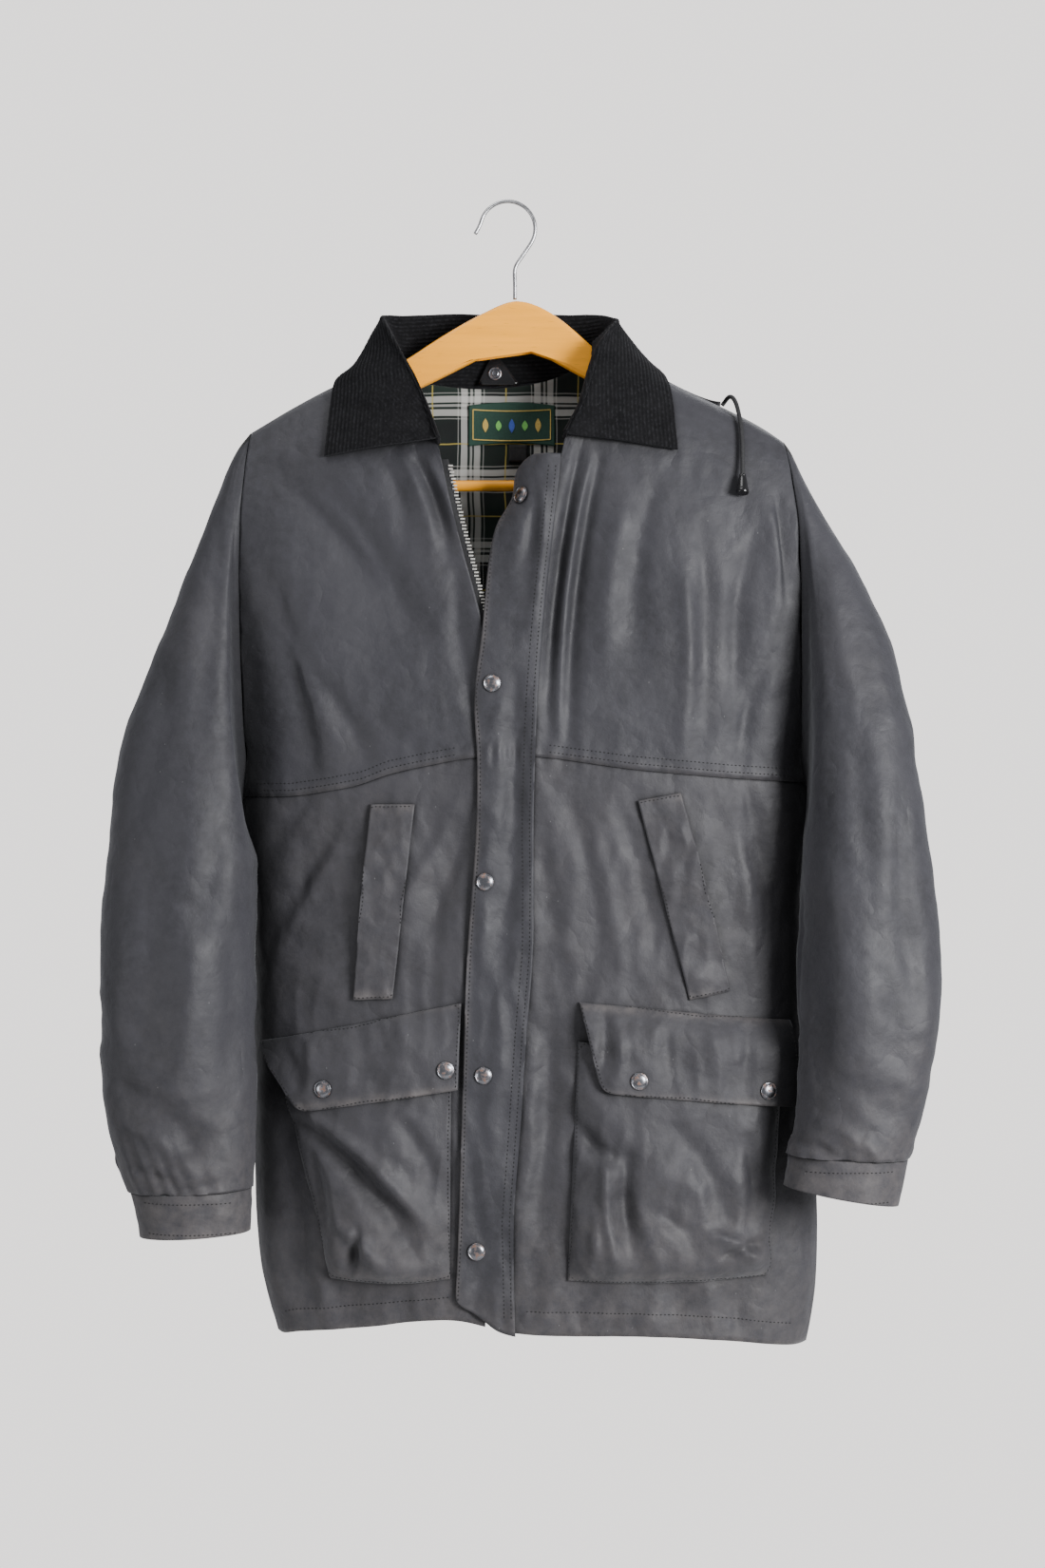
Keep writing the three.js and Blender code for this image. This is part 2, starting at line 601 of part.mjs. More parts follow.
function cuffWall(name) {
  const gather = name === "left" ? CUFF_GATHER_RISE : 0;
  const turns = steps(SLEEVE.round).slice(0, -1);
  const last = SLEEVES[name].length;
  const span = SLEEVES[name].at(-1).outZ - SLEEVES[name].at(-2).outZ;
  const gap = SEAM_GAP / Math.abs(span);
  return steps(3).map((v) =>
    turns.map((turn) => {
      const s = mix(SLEEVE.cuffAt + gap, last, v);
      return sleeveSample(name, s, turn * 2 * Math.PI, gather * Math.sin(Math.PI * (0.15 + 0.7 * v)));
    }),
  );
}

// The storm flap: sewn to the right front along its seam, free along its left edge.
const STORM_FLAP = [
  { z: -228, seam: 46, free: 18, roll: 12 },
  { z: -243, seam: 45, free: 5, roll: 18 },
  { z: -262, seam: 43, free: 5, roll: 20 },
  { z: -278, seam: 41, free: -4, roll: 18 },
  { z: -299, seam: 39, free: -15, roll: 14 },
  { z: -320, seam: 36.5, free: -16.5, roll: 9 },
  { z: -350, seam: 33, free: -19, roll: 1.5 },
  { z: -395, seam: 29, free: -22.5, roll: 0 },
  { z: -436, seam: 26, free: -29.4, roll: 0 },
  { z: -488, seam: 24, free: -25.6, roll: 0 },
  { z: -555, seam: 22.5, free: -26.2, roll: 0 },
  { z: -598, seam: 23, free: -29.4, roll: 0 },
  { z: -657, seam: 22.5, free: -34, roll: 0 },
  { z: -732, seam: 16, free: -37, roll: 0 },
  { z: -802, seam: 11.5, free: -39, roll: 0 },
  { z: -890, seam: 5, free: -41.5, roll: 0 },
  { z: -987, seam: 7, free: -45, roll: 0 },
];
const STORM_FLAP_GRID = {
  columns: 4,
  rows: 24,
  seamLift: CLOTH + 0.9,
  freeLift: CLOTH + 1.9,
  lowestRise: 27,
  topRows: [0.018, 0.034, 0.0475, 0.061],
};
function stormFlapPoint(u, v) {
  const lift = mix(STORM_FLAP_GRID.seamLift, STORM_FLAP_GRID.freeLift, clamp(2 * u, 0, 1));
  const level = mix(STORM_FLAP[0].z, STORM_FLAP.at(-1).z, v);
  const x = mix(read(STORM_FLAP, "z", "seam", level), read(STORM_FLAP, "z", "free", level), u);
  const z = level + STORM_FLAP_GRID.lowestRise * u * clamp((v - 0.9) / 0.1, 0, 1) ** 2;
  const { at } = clothSample(frontY, -1, x, z, lift);
  at.y += read(STORM_FLAP, "z", "roll", level) * clamp(2 * u - 1, 0, 1);
  return at;
}
function stormFlapSample(u, v) {
  return surfaceSample(stormFlapPoint, u, v, 1);
}

// Zip tapes run behind the two front edges and stand out of them into the gap.
const ZIP = { cover: 7, show: 6, top: -232, bottom: -968, rows: 16 };
function zipTape(name) {
  const reach = name === "left" ? 1 : -1;
  return steps(ZIP.rows).map((v) =>
    [-ZIP.cover, ZIP.show].map((offset) => {
      const z = mix(ZIP.top, ZIP.bottom, v);
      const x = read(FRONT_EDGES, "z", name, z) + reach * offset;
      return clothSample(frontY, -1, x, z, -CLOTH - 1.6);
    }),
  );
}

// Bellows pockets: each bag stands out from the lower front on side and bottom gussets.
const POCKETS = {
  left: {
    flush: 0.85,
    top: [-199, -48],
    topZ: [-757, -735],
    bottom: [-153, -49],
    bottomZ: [-941, -939],
    flap: { x: [-213, -39.5], topZ: [-737.7, -702], bottomX: [-176, -42], bottomZ: [-797, -776] },
  },
  right: {
    flush: 0,
    top: [61, 238],
    topZ: [-735, -752],
    bottom: [52, 226],
    bottomZ: [-940, -939],
    flap: { x: [62, 243.5], topZ: [-701, -719], bottomX: [80, 243], bottomZ: [-778, -794] },
  },
};
const BAG = { columns: 12, rows: 10, seat: POCKET_CLOTH + 1, topProud: 8, bottomProud: 22 };
const bagRise = (t) => 1 - Math.abs(2 * t - 1) ** 7;
function bagSample(pocket, u, v) {
  const left = mix(pocket.bottom[0], pocket.top[0], v);
  const right = mix(pocket.bottom[1], pocket.top[1], v);
  const sag = 4 * Math.sin(Math.PI * u) * (1 - v);
  const x = mix(left, right, u);
  const z = mix(mix(...pocket.bottomZ, u) - sag, mix(...pocket.topZ, u), v);
  const proud = mix(BAG.bottomProud, BAG.topProud, v ** 0.8);
  const foot = Math.min(1, v / 0.09) ** 0.5;
  const tucked = 1 - pocket.flush * clamp((u - 0.55) / 0.45, 0, 1) ** 1.5;
  return clothSample(frontY, -1, x, z, BAG.seat + proud * bagRise(u) * foot * tucked);
}
function bagWall(pocket) {
  const across = steps(BAG.columns).map((t) => 0.5 - Math.cos(Math.PI * t) / 2);
  const up = [0, 0.03, 0.09, ...steps(BAG.rows - 3).slice(1).map((t) => mix(0.09, 1, t))];
  return up.map((v) => across.map((u) => bagSample(pocket, u, v)));
}
const FLAP = { columns: 9, rows: 5, seat: POCKET_CLOTH + 1.3, proud: 12.5 };
function pocketFlapPoint(pocket, u, v) {
  const { x, topZ, bottomX, bottomZ } = pocket.flap;
  const placeX = mix(mix(...x, u), mix(...bottomX, u), v);
  const placeZ = mix(mix(...topZ, u), mix(...bottomZ, u), v);
  const tucked = 1 - pocket.flush * clamp((u - 0.55) / 0.45, 0, 1) ** 1.5;
  const rise = FLAP.proud * clamp(v / 0.4, 0, 1) ** 0.7 * mix(1, tucked, 0.7);
  return clothSample(frontY, -1, placeX, placeZ, FLAP.seat + rise).at;
}
function pocketFlapWall(pocket) {
  const out = (u, v) => {
    const { at } = surfaceSample((a, b) => pocketFlapPoint(pocket, a, b), u, v, -1);
    return clothSample(frontY, -1, at.x, at.z).out;
  };
  return steps(FLAP.rows).map((v) =>
    steps(FLAP.columns).map((u) => ({ at: pocketFlapPoint(pocket, u, v), out: out(u, v) })),
  );
}
// The flap's own shares of width and height at a place of the front view.
function pocketFlapShares(pocket, placeX, placeZ) {
  const { x, topZ, bottomX, bottomZ } = pocket.flap;
  let [u, v] = [0.5, 0.5];
  for (let turn = 0; turn < 8; turn += 1) {
    v = (placeZ - mix(...topZ, u)) / (mix(...bottomZ, u) - mix(...topZ, u));
    const [near, far] = [mix(x[0], bottomX[0], v), mix(x[1], bottomX[1], v)];
    u = (placeX - near) / (far - near);
  }
  return [u, v];
}

// Welts of the two hand-warmer pockets, sewn down at the ends and along the inner edge.
const WELTS = {
  left: { topIn: [-79.6, -531], topOut: [-117.5, -531], endIn: [-99, -699], endOut: [-132.5, -700] },
  right: { topIn: [112.6, -528], topOut: [149.5, -521], endIn: [157, -700], endOut: [192.5, -693] },
};
const WELT = { columns: 3, rows: 9, seat: POCKET_CLOTH + 1.1, proud: 6 };
function weltWall(welt) {
  return steps(WELT.rows).map((v) =>
    steps(WELT.columns).map((u) => {
      const x = mix(mix(welt.topIn[0], welt.topOut[0], u), mix(welt.endIn[0], welt.endOut[0], u), v);
      const z = mix(mix(welt.topIn[1], welt.topOut[1], u), mix(welt.endIn[1], welt.endOut[1], u), v);
      const rise = WELT.proud * u * Math.sin(Math.PI * v) ** 0.6;
      return clothSample(frontY, -1, x, z, WELT.seat + rise);
    }),
  );
}

// The collar, as stations round the neck. n is on the neck seam, r on the roll line and
// e on the outer edge. Its depth at the neck seam is the body's own.
const COLLAR = spaced([
  { nx: -60, nz: -221, rx: -62, ry: -63, rz: -214, ex: -159, ey: -43, ez: -229 },
  { nx: -73, nz: -197, rx: -71, ry: -54, rz: -187, ex: -157, ey: -34, ez: -206 },
  { nx: -83, nz: -174, rx: -80, ry: -45, rz: -165, ex: -155, ey: -22, ez: -181 },
  { nx: -90, nz: -153, rx: -92, ry: -33, rz: -141, ex: -152.5, ey: -8, ez: -158 },
  { nx: -93, nz: -141, rx: -104, ry: -18, rz: -120, ex: -142, ey: 12, ez: -148 },
  { nx: -94, nz: -136, rx: -113, ry: -1, rz: -101, ex: -128, ey: 27, ez: -138 },
  { nx: -88, nz: -153, rx: -106, ry: 12, rz: -98, ex: -110, ey: 35, ez: -134 },
  { nx: -72, nz: -163, rx: -84, ry: 21, rz: -97, ex: -82, ey: 42, ez: -135 },
  { nx: -40, nz: -163, rx: -45, ry: 26, rz: -95, ex: -42, ey: 46, ez: -135 },
  { nx: 0, nz: -159, rx: 0, ry: 28, rz: -95, ex: 0, ey: 47, ez: -134 },
  { nx: 36, nz: -155, rx: 42, ry: 27, rz: -95, ex: 40, ey: 46, ez: -135 },
  { nx: 58, nz: -153, rx: 70, ry: 22, rz: -96, ex: 72, ey: 43, ez: -137 },
  { nx: 71, nz: -146, rx: 89, ry: 12, rz: -98, ex: 98, ey: 37, ez: -139 },
  { nx: 76, nz: -124, rx: 100, ry: -1, rz: -104, ex: 120, ey: 28, ez: -141 },
  { nx: 75, nz: -140, rx: 91, ry: -19, rz: -117, ex: 134, ey: 12, ez: -146 },
  { nx: 72, nz: -152, rx: 81, ry: -33, rz: -134, ex: 141, ey: -8, ez: -157 },
  { nx: 66, nz: -176, rx: 73, ry: -45, rz: -160, ex: 144.5, ey: -22, ez: -180 },
  { nx: 58, nz: -197, rx: 65, ry: -54, rz: -186, ex: 146, ey: -34, ez: -202 },
  { nx: 49, nz: -215, rx: 53, ry: -63, rz: -210, ex: 148, ey: -44, ez: -223 },
]);
const COLLAR_GRID = { stations: 34, rollRadius: 2.9, bulge: 5, seat: 1.5, clear: 4 };
const BACK_STATIONS = [5 / 18, 13 / 18];

// A smooth curve through a few points, at a share of its length.
function throughPoints(places, share) {
  const rows = spaced(places.map((p) => ({ x: p.x, y: p.y, z: p.z })));
  return point(read(rows, "s", "x", share), read(rows, "s", "y", share), read(rows, "s", "z", share));
}
function collarSection(s) {
  const cell = (column) => read(COLLAR, "s", column, s);
  const [nx, nz] = [cell("nx"), cell("nz")];
  const atBack = s > BACK_STATIONS[0] && s < BACK_STATIONS[1];
  const neckY = atBack ? backY(nx, nz) - 1 : frontY(nx, nz) + 1;
  const middle = point(-8, 0, 0);
  const neck = point(nx, neckY, nz + COLLAR_GRID.seat);
  neck.x += Math.sign(middle.x - nx) * COLLAR_GRID.seat;
  const roll = point(cell("rx"), cell("ry"), cell("rz"));
  const edge = point(cell("ex"), cell("ey"), cell("ez"));
  const { clear } = COLLAR_GRID;
  if (!atBack) edge.y = Math.min(edge.y, frontY(edge.x, edge.z) - clear);
  const rise = roll.clone().sub(neck).normalize();
  const fall = edge.clone().sub(roll);
  const outward = fall.addScaledVector(rise, -fall.dot(rise)).normalize();
  const radius = COLLAR_GRID.rollRadius;
  const inner = roll.clone().addScaledVector(rise, -radius).addScaledVector(outward, -radius);
  const outer = roll.clone().addScaledVector(rise, -radius).addScaledVector(outward, radius);
  const belly = outer.clone().lerp(edge, 0.5).addScaledVector(outward, COLLAR_GRID.bulge * 0.6);
  belly.addScaledVector(rise, COLLAR_GRID.bulge * 0.6);
  if (!atBack) belly.y = Math.min(belly.y, frontY(belly.x, belly.z) - clear - 2);
  return [neck, neck.clone().lerp(inner, 0.55), inner, roll, outer, belly, edge];
}
const COLLAR_SHARES = [0, 0.17, 0.3, 0.36, 0.42, 0.48, 0.54, 0.6, 0.68, 0.84, 1];
function collarWall() {
  const grid = steps(COLLAR_GRID.stations).map((s) => {
    const section = collarSection(s);
    return COLLAR_SHARES.map((share) => throughPoints(section, share));
  });
  return withNormals(grid, -1);
}

// Samples of a grid of points, with directions taken from the grid itself.
function withNormals(grid, turn) {
  const pick = (i, j) => grid[clamp(i, 0, grid.length - 1)][clamp(j, 0, grid[0].length - 1)];
  return grid.map((row, i) =>
    row.map((at, j) => {
      const along = pick(i + 1, j).clone().sub(pick(i - 1, j));
      const across = pick(i, j + 1).clone().sub(pick(i, j - 1));
      return { at, out: along.cross(across).normalize().multiplyScalar(turn) };
    }),
  );
}

// The hood hangs down the back as a slack pouch, open at the top behind the collar.
const HOOD_RIM = [
  { x: -142, outer: -178, inner: -182 },
  { x: -112, outer: -134, inner: -176 },
  { x: -60, outer: -107, inner: -170 },
  { x: 0, outer: -104, inner: -168 },
  { x: 60, outer: -103, inner: -167 },
  { x: 100, outer: -122, inner: -168 },
  { x: 146, outer: -151, inner: -174 },
  { x: 188, outer: -172, inner: -184 },
];
const HOOD = [
  { v: 0, low: -392, left: -62, right: 96, deep: 16 },
  { v: 0.12, low: -384, left: -100, right: 132, deep: 26 },
  { v: 0.3, low: -350, left: -132, right: 162, deep: 34 },
  { v: 0.55, low: -290, left: -146, right: 178, deep: 34 },
  { v: 0.8, low: -226, left: -146, right: 186, deep: 30 },
  { v: 1, low: -175, left: -142, right: 188, deep: 26 },
];
const HOOD_GRID = { round: 24, rows: 10, off: CLOTH + 1.6, least: 20, drop: 7 };
function hoodSample(v, angle) {
  const cell = (column) => read(HOOD, "v", column, v);
  const [left, right] = [cell("left"), cell("right")];
  const x = mix(left, right, (1 + Math.cos(angle)) / 2);
  const outside = Math.sin(angle);
  const rim = read(HOOD_RIM, "x", outside >= 0 ? "outer" : "inner", x);
  const rimShare = clamp((v - 0.3) / 0.7, 0, 1);
  const z = mix(cell("low"), rim, rimShare ** 2);
  const skin = Math.max(smoothBackY(x, z), HOOD_GRID.least) + HOOD_GRID.off;
  const collarRoom = 16 * clamp((z + 215) / 60, 0, 1) * Math.max(outside, 0) ** 0.5;
  const deep = (cell("deep") + collarRoom) * Math.max(outside, 0) ** 0.6;
  const fold = 2.5 * Math.sin(x / 17 + z / 60) * Math.max(outside, 0) * clamp(v * 3, 0, 1);
  return point(x, skin + deep + fold, z);
}
function hoodWall() {
  const turns = steps(HOOD_GRID.round).slice(0, -1);
  const rows = steps(HOOD_GRID.rows).map((v) => turns.map((t) => hoodSample(v, 2 * Math.PI * t)));
  const wrapped = rows.map((row) => [row[row.length - 1], ...row, row[0]]);
  return withNormals(wrapped, 1).map((row) => row.slice(1, -1));
}
// The pouch's closed end: a shallow cone of cloth below its first ring.
function hoodGeometry() {
  const samples = hoodWall();
  const outer = samples.map((row) => row.map((s) => s.at));
  const inner = samples.map((row) => row.map((s) => s.at.clone().addScaledVector(s.out, -CLOTH)));
  const pole = (row, drop) => {
    const middle = row.reduce((sum, p) => sum.add(p), point(0, 0, 0)).divideScalar(row.length);
    return middle.setZ(middle.z - drop);
  };
  return cappedWall(outer, inner, pole(outer[0], HOOD_GRID.drop), pole(inner[0], HOOD_GRID.drop - CLOTH));
}

// A closed tube wall whose first ring is capped by a fan of faces round a pole.
function cappedWall(outer, inner, outerPole, innerPole) {
  const [rows, columns] = [outer.length, outer[0].length];
  const points = [...outer.flat(), ...inner.flat(), outerPole, innerPole];
  const positions = points.flatMap((p) => [p.x, p.y, p.z]);
  const at = (face, row, column) => face * rows * columns + row * columns + (column % columns);
  const poles = [points.length - 2, points.length - 1];
  const index = [];
  const quad = (a, b, c, d) => index.push(a, b, c, a, c, d);
  for (let j = 0; j < columns; j += 1) {
    for (let i = 0; i < rows - 1; i += 1) {
      quad(at(0, i, j), at(0, i, j + 1), at(0, i + 1, j + 1), at(0, i + 1, j));
      quad(at(1, i, j), at(1, i + 1, j), at(1, i + 1, j + 1), at(1, i, j + 1));
    }
    quad(at(0, rows - 1, j), at(0, rows - 1, j + 1), at(1, rows - 1, j + 1), at(1, rows - 1, j));
    index.push(poles[0], at(0, 0, j + 1), at(0, 0, j));
    index.push(poles[1], at(1, 0, j), at(1, 0, j + 1));
  }
  return outwards(positions, index);
}

// The plaid lining of the back, with its woven label and size loop, and the snap tab above.
const LINING = {
  columns: 9,
  rows: 11,
  seamReach: 1.1,
  nearNeck: 2.6,
  lower: 9.5,
  low: -960,
  wideShare: 0.94,
};
function liningY(x, z) {
  const off = mix(LINING.nearNeck, LINING.lower, clamp((-185 - z) / 75, 0, 1));
  return smoothBackY(x, z) - CLOTH - off;
}
function liningSample(x, z, lift = 0) {
  return clothSample(liningY, 1, x, z, lift);
}
function liningTop(u) {
  const place = backHighEdge(u);
  const atNeck = u > BACK.neckStart && u < BACK.neckEnd;
  return { x: place.x * LINING.wideShare, z: place.z - (atNeck ? 2 : 22) };
}
function liningWall() {
  return steps(LINING.rows).map((v) =>
    steps(LINING.columns).map((u) => {
      const top = liningTop(u);
      const level = mix(LINING.low, top.z, v);
      const outer = mix(sideX("left", level), sideX("right", level), u);
      const x = mix(mix(25, outer, LINING.wideShare), top.x, v ** 3);
      const z = mix(mix(LINING.low, top.z, v), top.z, v ** 6);
      return liningSample(x, z, v === 1 ? LINING.seamReach : 0);
    }),
  );
}
const LABEL = { x: [-35, 42], z: [-176, -213], sag: 3, off: -TAPE - 1.7, thick: 0.8 };
function labelWall() {
  return steps(3).map((v) =>
    steps(7).map((u) => {
      const z = mix(...LABEL.z, v) + LABEL.sag * Math.sin(Math.PI * u);
      return liningSample(mix(...LABEL.x, u), z, LABEL.off);
    }),
  );
}

// Snap fasteners: a domed cap on a short rim, its base a little off the cloth.
const SNAP_PROFILE = [
  { share: 0, height: 0 },
  { share: 0.94, height: 0 },
  { share: 1, height: 0.35 },
  { share: 0.86, height: 0.8 },
  { share: 0.45, height: 1 },
  { share: 0, height: 1 },
];
const SNAP_SIDES = 12;
function addSnap(name, sample, lift = 0.45, radius = SNAP_RADIUS, height = SNAP_HEIGHT) {
  const profile = SNAP_PROFILE.map((p) => new THREE.Vector2(p.share * radius, p.height * height));
  const cap = addPiece(name, new THREE.LatheGeometry(profile, SNAP_SIDES), "snap");
  cap.quaternion.setFromUnitVectors(point(0, 1, 0), sample.out);
  cap.position.copy(sample.at).addScaledVector(sample.out, lift);
  return cap;
}

// The wooden hanger: one flat outline with rounded edges, a round bar and a steel hook.
const HANGER = {
  middleX: 5,
  half: 216,
  underCloth: 4.6,
  thick: 12,
  edge: 3.6,
  barZ: -250,
  barRadius: 5,
  barInset: 38,
  barReach: 4.4,
  lobeZ: -259,
};
// The upper edge between the two shoulders, where the hanger shows, and the lower edge.
const HANGER_CREST = [
  { x: -91, z: -140.6 },
  { x: -60.5, z: -120 },
  { x: -36, z: -105.5 },
  { x: -12, z: -93 },
  { x: 5, z: -85.5 },
  { x: 26, z: -90.5 },
  { x: 46, z: -103 },
  { x: 66, z: -120.5 },
  { x: 76.5, z: -132.5 },
];
const HANGER_BELLY = [
  { x: -168, z: -203 },
  { x: -105, z: -177 },
  { x: -50, z: -151 },
  { x: 7, z: -120.5 },
  { x: 60, z: -151 },
  { x: 115, z: -180 },
  { x: 178, z: -207 },
];
const HANGER_CREST_JOIN = 22;
function hangerTopZ(x) {
  const [first, last] = [HANGER_CREST[0].x, HANGER_CREST.at(-1).x];
  const past = Math.max(first - x, x - last, 0) / HANGER_CREST_JOIN;
  const underCloth = shoulderZ(x) - HANGER.underCloth;
  const crest = read(HANGER_CREST, "x", "z", clamp(x, first, last));
  const end = clamp(x, first, last);
  const step = crest - (shoulderZ(end) - HANGER.underCloth);
  return past > 0 ? underCloth + step * clamp(1 - past, 0, 1) : crest;
}

function hangerOutline() {
  const { middleX, half, edge, lobeZ, barInset } = HANGER;
  const shape = new THREE.Shape();
  const top = steps(28).map((t) => {
    const x = middleX + mix(-half, half, t);
    return [x, hangerTopZ(x) - edge];
  });
  const lobe = (sign) => [
    [middleX + sign * (half - 1), lobeZ + 12 + edge],
    [middleX + sign * (half - 7), lobeZ + edge + 1],
    [middleX + sign * (half - 18), lobeZ + edge],
    [middleX + sign * (half - barInset + 7), lobeZ + 12],
  ];
  const low = [...HANGER_BELLY].reverse().map(({ x, z }) => [x, z + edge]);
  const outline = [...top, ...lobe(1), ...low, ...lobe(-1).reverse()];
  outline.forEach(([x, z], i) => (i ? shape.lineTo(x, z) : shape.moveTo(x, z)));
  shape.closePath();
  return shape;
}
function addHanger() {
  const { thick, edge, middleX, half, barInset, barReach, barRadius, barZ } = HANGER;
  const arms = new THREE.ExtrudeGeometry(hangerOutline(), {
    depth: thick - 2 * edge,
    bevelEnabled: true,
    bevelThickness: edge,
    bevelSize: edge,
    bevelSegments: 2,
  });
  arms.rotateX(Math.PI / 2);
  arms.translate(0, thick / 2 - edge, 0);
  addPiece("hanger_arms", arms, "beech");
  const length = 2 * (half - barInset) + barReach;
  const bar = addPiece("hanger_bar", new THREE.CylinderGeometry(barRadius, barRadius, length, 12), "beech");
  bar.rotation.z = Math.PI / 2;
  bar.position.set(middleX, 0, barZ);
}
const HOOK = { wire: 1.8, radius: 24.5, stemX: 6.4, stemFoot: -85.1, stemTop: -57, tipDrop: 8 };
function addHook() {
  const { wire, radius, stemX, stemFoot, stemTop, tipDrop } = HOOK;
  const middleZ = wire - radius;
  const around = (degrees) => {
    const turn = THREE.MathUtils.degToRad(degrees);
    return point(radius * Math.cos(turn), 0, middleZ + radius * Math.sin(turn));
  };
  const arc = steps(13).map((t) => around(mix(-22, 172, t)));
  const tip = arc.at(-1).clone().add(point(-4.5, 0, -tipDrop));
  const route = [
    point(stemX, 0, stemFoot),
    point(stemX, 0, mix(stemFoot, stemTop, 0.5)),
    point(stemX, 0, stemTop),
    point(11.5, 0, stemTop + 8),
    ...arc,
    tip,
  ];
  const section = new THREE.Shape();
  section.absarc(0, 0, wire, 0, 2 * Math.PI, false);
  const wireGeometry = new THREE.ExtrudeGeometry(section, {
    curveSegments: 5,
    steps: 28,
    extrudePath: new THREE.CatmullRomCurve3(route),
  });
  addPiece("hanger_hook", wireGeometry, "steel");
}

// The hood's drawcord: out of the channel, over the shoulder and down the chest.
const CORD = { radius: 1.9, endRadius: 5.4, endTopRadius: 4, endLength: 17 };
const CORD_ROUTE = [
  { x: 191.4, y: 24.2, z: -175.5 },
  { x: 193.6, y: 22.5, z: -172.6 },
  { x: 196.5, y: 15, z: -169.5 },
  { x: 199, y: 6, z: -171 },
  { x: 201.2, y: -4.5, z: -177 },
  { x: 203, y: -15, z: -187.5 },
  { x: 204.3, y: -24, z: -200 },
  { x: 204.8, y: -32, z: -215 },
  { x: 204.6, y: -38, z: -230 },
  { x: 204.2, y: -43, z: -244.7 },
];
function addCord() {
  const section = new THREE.Shape();
  section.absarc(0, 0, CORD.radius, 0, 2 * Math.PI, false);
  const route = CORD_ROUTE.map((p) => point(p.x, p.y, p.z));
  const tube = new THREE.ExtrudeGeometry(section, {
    curveSegments: 4,
    steps: 14,
    extrudePath: new THREE.CatmullRomCurve3(route),
  });
  addPiece("drawcord", tube, "cord");
  const { endRadius, endTopRadius, endLength } = CORD;
  const bell = [
    [0, 0],
    [endRadius, 0],
    [endRadius - 0.3, 3],
    [endTopRadius, endLength - 3],
    [endTopRadius - 1.2, endLength],
    [0, endLength],
  ].map(([r, h]) => new THREE.Vector2(r, h));
  const end = addPiece("drawcord_end", new THREE.LatheGeometry(bell, 12), "cordEnd");
  const last = route.at(-1);
  const along = last.clone().sub(route.at(-2)).normalize();
  end.quaternion.setFromUnitVectors(point(0, -1, 0), along);
  end.position.copy(last).addScaledVector(along, endLength + SEAM_GAP);
}

// A small triangular tab with a snap, standing against the inside of the collar.
const TAB = { left: -27, right: 11, apexX: -11.5, footZ: -158, apexZ: -135, thick: 1.4, y: 21.1 };
function addCollarTab() {
  const { left, right, apexX, footZ, apexZ, thick, y } = TAB;
  const shape = new THREE.Shape();
  shape.moveTo(left, footZ);
  shape.lineTo(right, footZ);
  shape.lineTo(apexX + 5, apexZ + 0.5);
  shape.quadraticCurveTo(apexX, apexZ + 3, apexX - 5, apexZ);
  shape.closePath();
  const plate = new THREE.ExtrudeGeometry(shape, { depth: thick, bevelEnabled: false, curveSegments: 4 });
  plate.rotateX(Math.PI / 2);
  plate.translate(0, y + thick, 0);
  addPiece("collar_tab", plate, "loop");
  addSnap("snap_tab", { at: point(apexX, y, -147.5), out: point(0, -1, 0) }, 0.45, 6, 2);
}
const SIZE_LOOP = { x: [1, 17], top: -212, drop: 15, deep: 5, thick: 0.8 };
function addSizeLoop() {
  const { x, top, drop, deep, thick } = SIZE_LOOP;
  const front = liningSample((x[0] + x[1]) / 2, top - 2).at.y - TAPE - 1.3 - deep;
  const sides = (inset) => {
    const [near, far, low] = [front + inset, front + deep - inset, top - drop + inset];
    return [
      [near, top],
      [near, low + 2],
      [near + 1, low],
      [far - 1, low],
      [far, low + 2],
      [far, top],
    ];
  };
  const shape = new THREE.Shape();
  const outline = [...sides(0), ...sides(thick).reverse()];
  outline.forEach(([a, b], i) => (i ? shape.lineTo(a, b) : shape.moveTo(a, b)));
  shape.closePath();
  const strip = new THREE.ExtrudeGeometry(shape, { depth: x[1] - x[0], bevelEnabled: false });
  strip.applyMatrix4(new THREE.Matrix4().set(0, 0, 1, x[0], 1, 0, 0, 0, 0, 1, 0, 0, 0, 0, 0, 1));
  addPiece("size_loop", strip, "loop");
}

addHanger();
addHook();
addWall("back", backPanel(), CLOTH, "waxed");
for (const name of ["left", "right"]) {
  addWall(`upper_front_${name}`, upperFront(name), CLOTH, "waxed");
  addWall(`lower_front_${name}`, lowerFront(name), CLOTH, "waxedFaded");
  addWall(`sleeve_${name}_front`, sleeveWall(name, true), CLOTH, "waxed");
  addWall(`sleeve_${name}_back`, sleeveWall(name, false), CLOTH, "waxed");
  addWall(`cuff_${name}`, cuffWall(name), CLOTH, "waxedFaded", true);
  addWall(`zip_tape_${name}`, zipTape(name), TAPE, "zipTape");
  addWall(`pocket_bag_${name}`, bagWall(POCKETS[name]), POCKET_CLOTH, "waxedFaded");
  addWall(`pocket_flap_${name}`, pocketFlapWall(POCKETS[name]), POCKET_CLOTH, "waxedFaded");
  addWall(`welt_${name}`, weltWall(WELTS[name]), POCKET_CLOTH, "waxedFaded");
}
const flapRows = [0, ...STORM_FLAP_GRID.topRows, ...steps(STORM_FLAP_GRID.rows).slice(2)];
const flapGrid = flapRows.map((v) =>
  steps(STORM_FLAP_GRID.columns).map((u) => stormFlapSample(u, v)),
);
addWall("storm_flap", flapGrid, CLOTH, "waxed");
addWall("collar", collarWall(), COLLAR_CLOTH, "corduroy");
addPiece("hood", hoodGeometry(), "waxed");
addWall("back_lining", liningWall(), TAPE, "lining");
addWall("neck_label", labelWall(), LABEL.thick, "label");
addCollarTab();
addSizeLoop();
addCord();

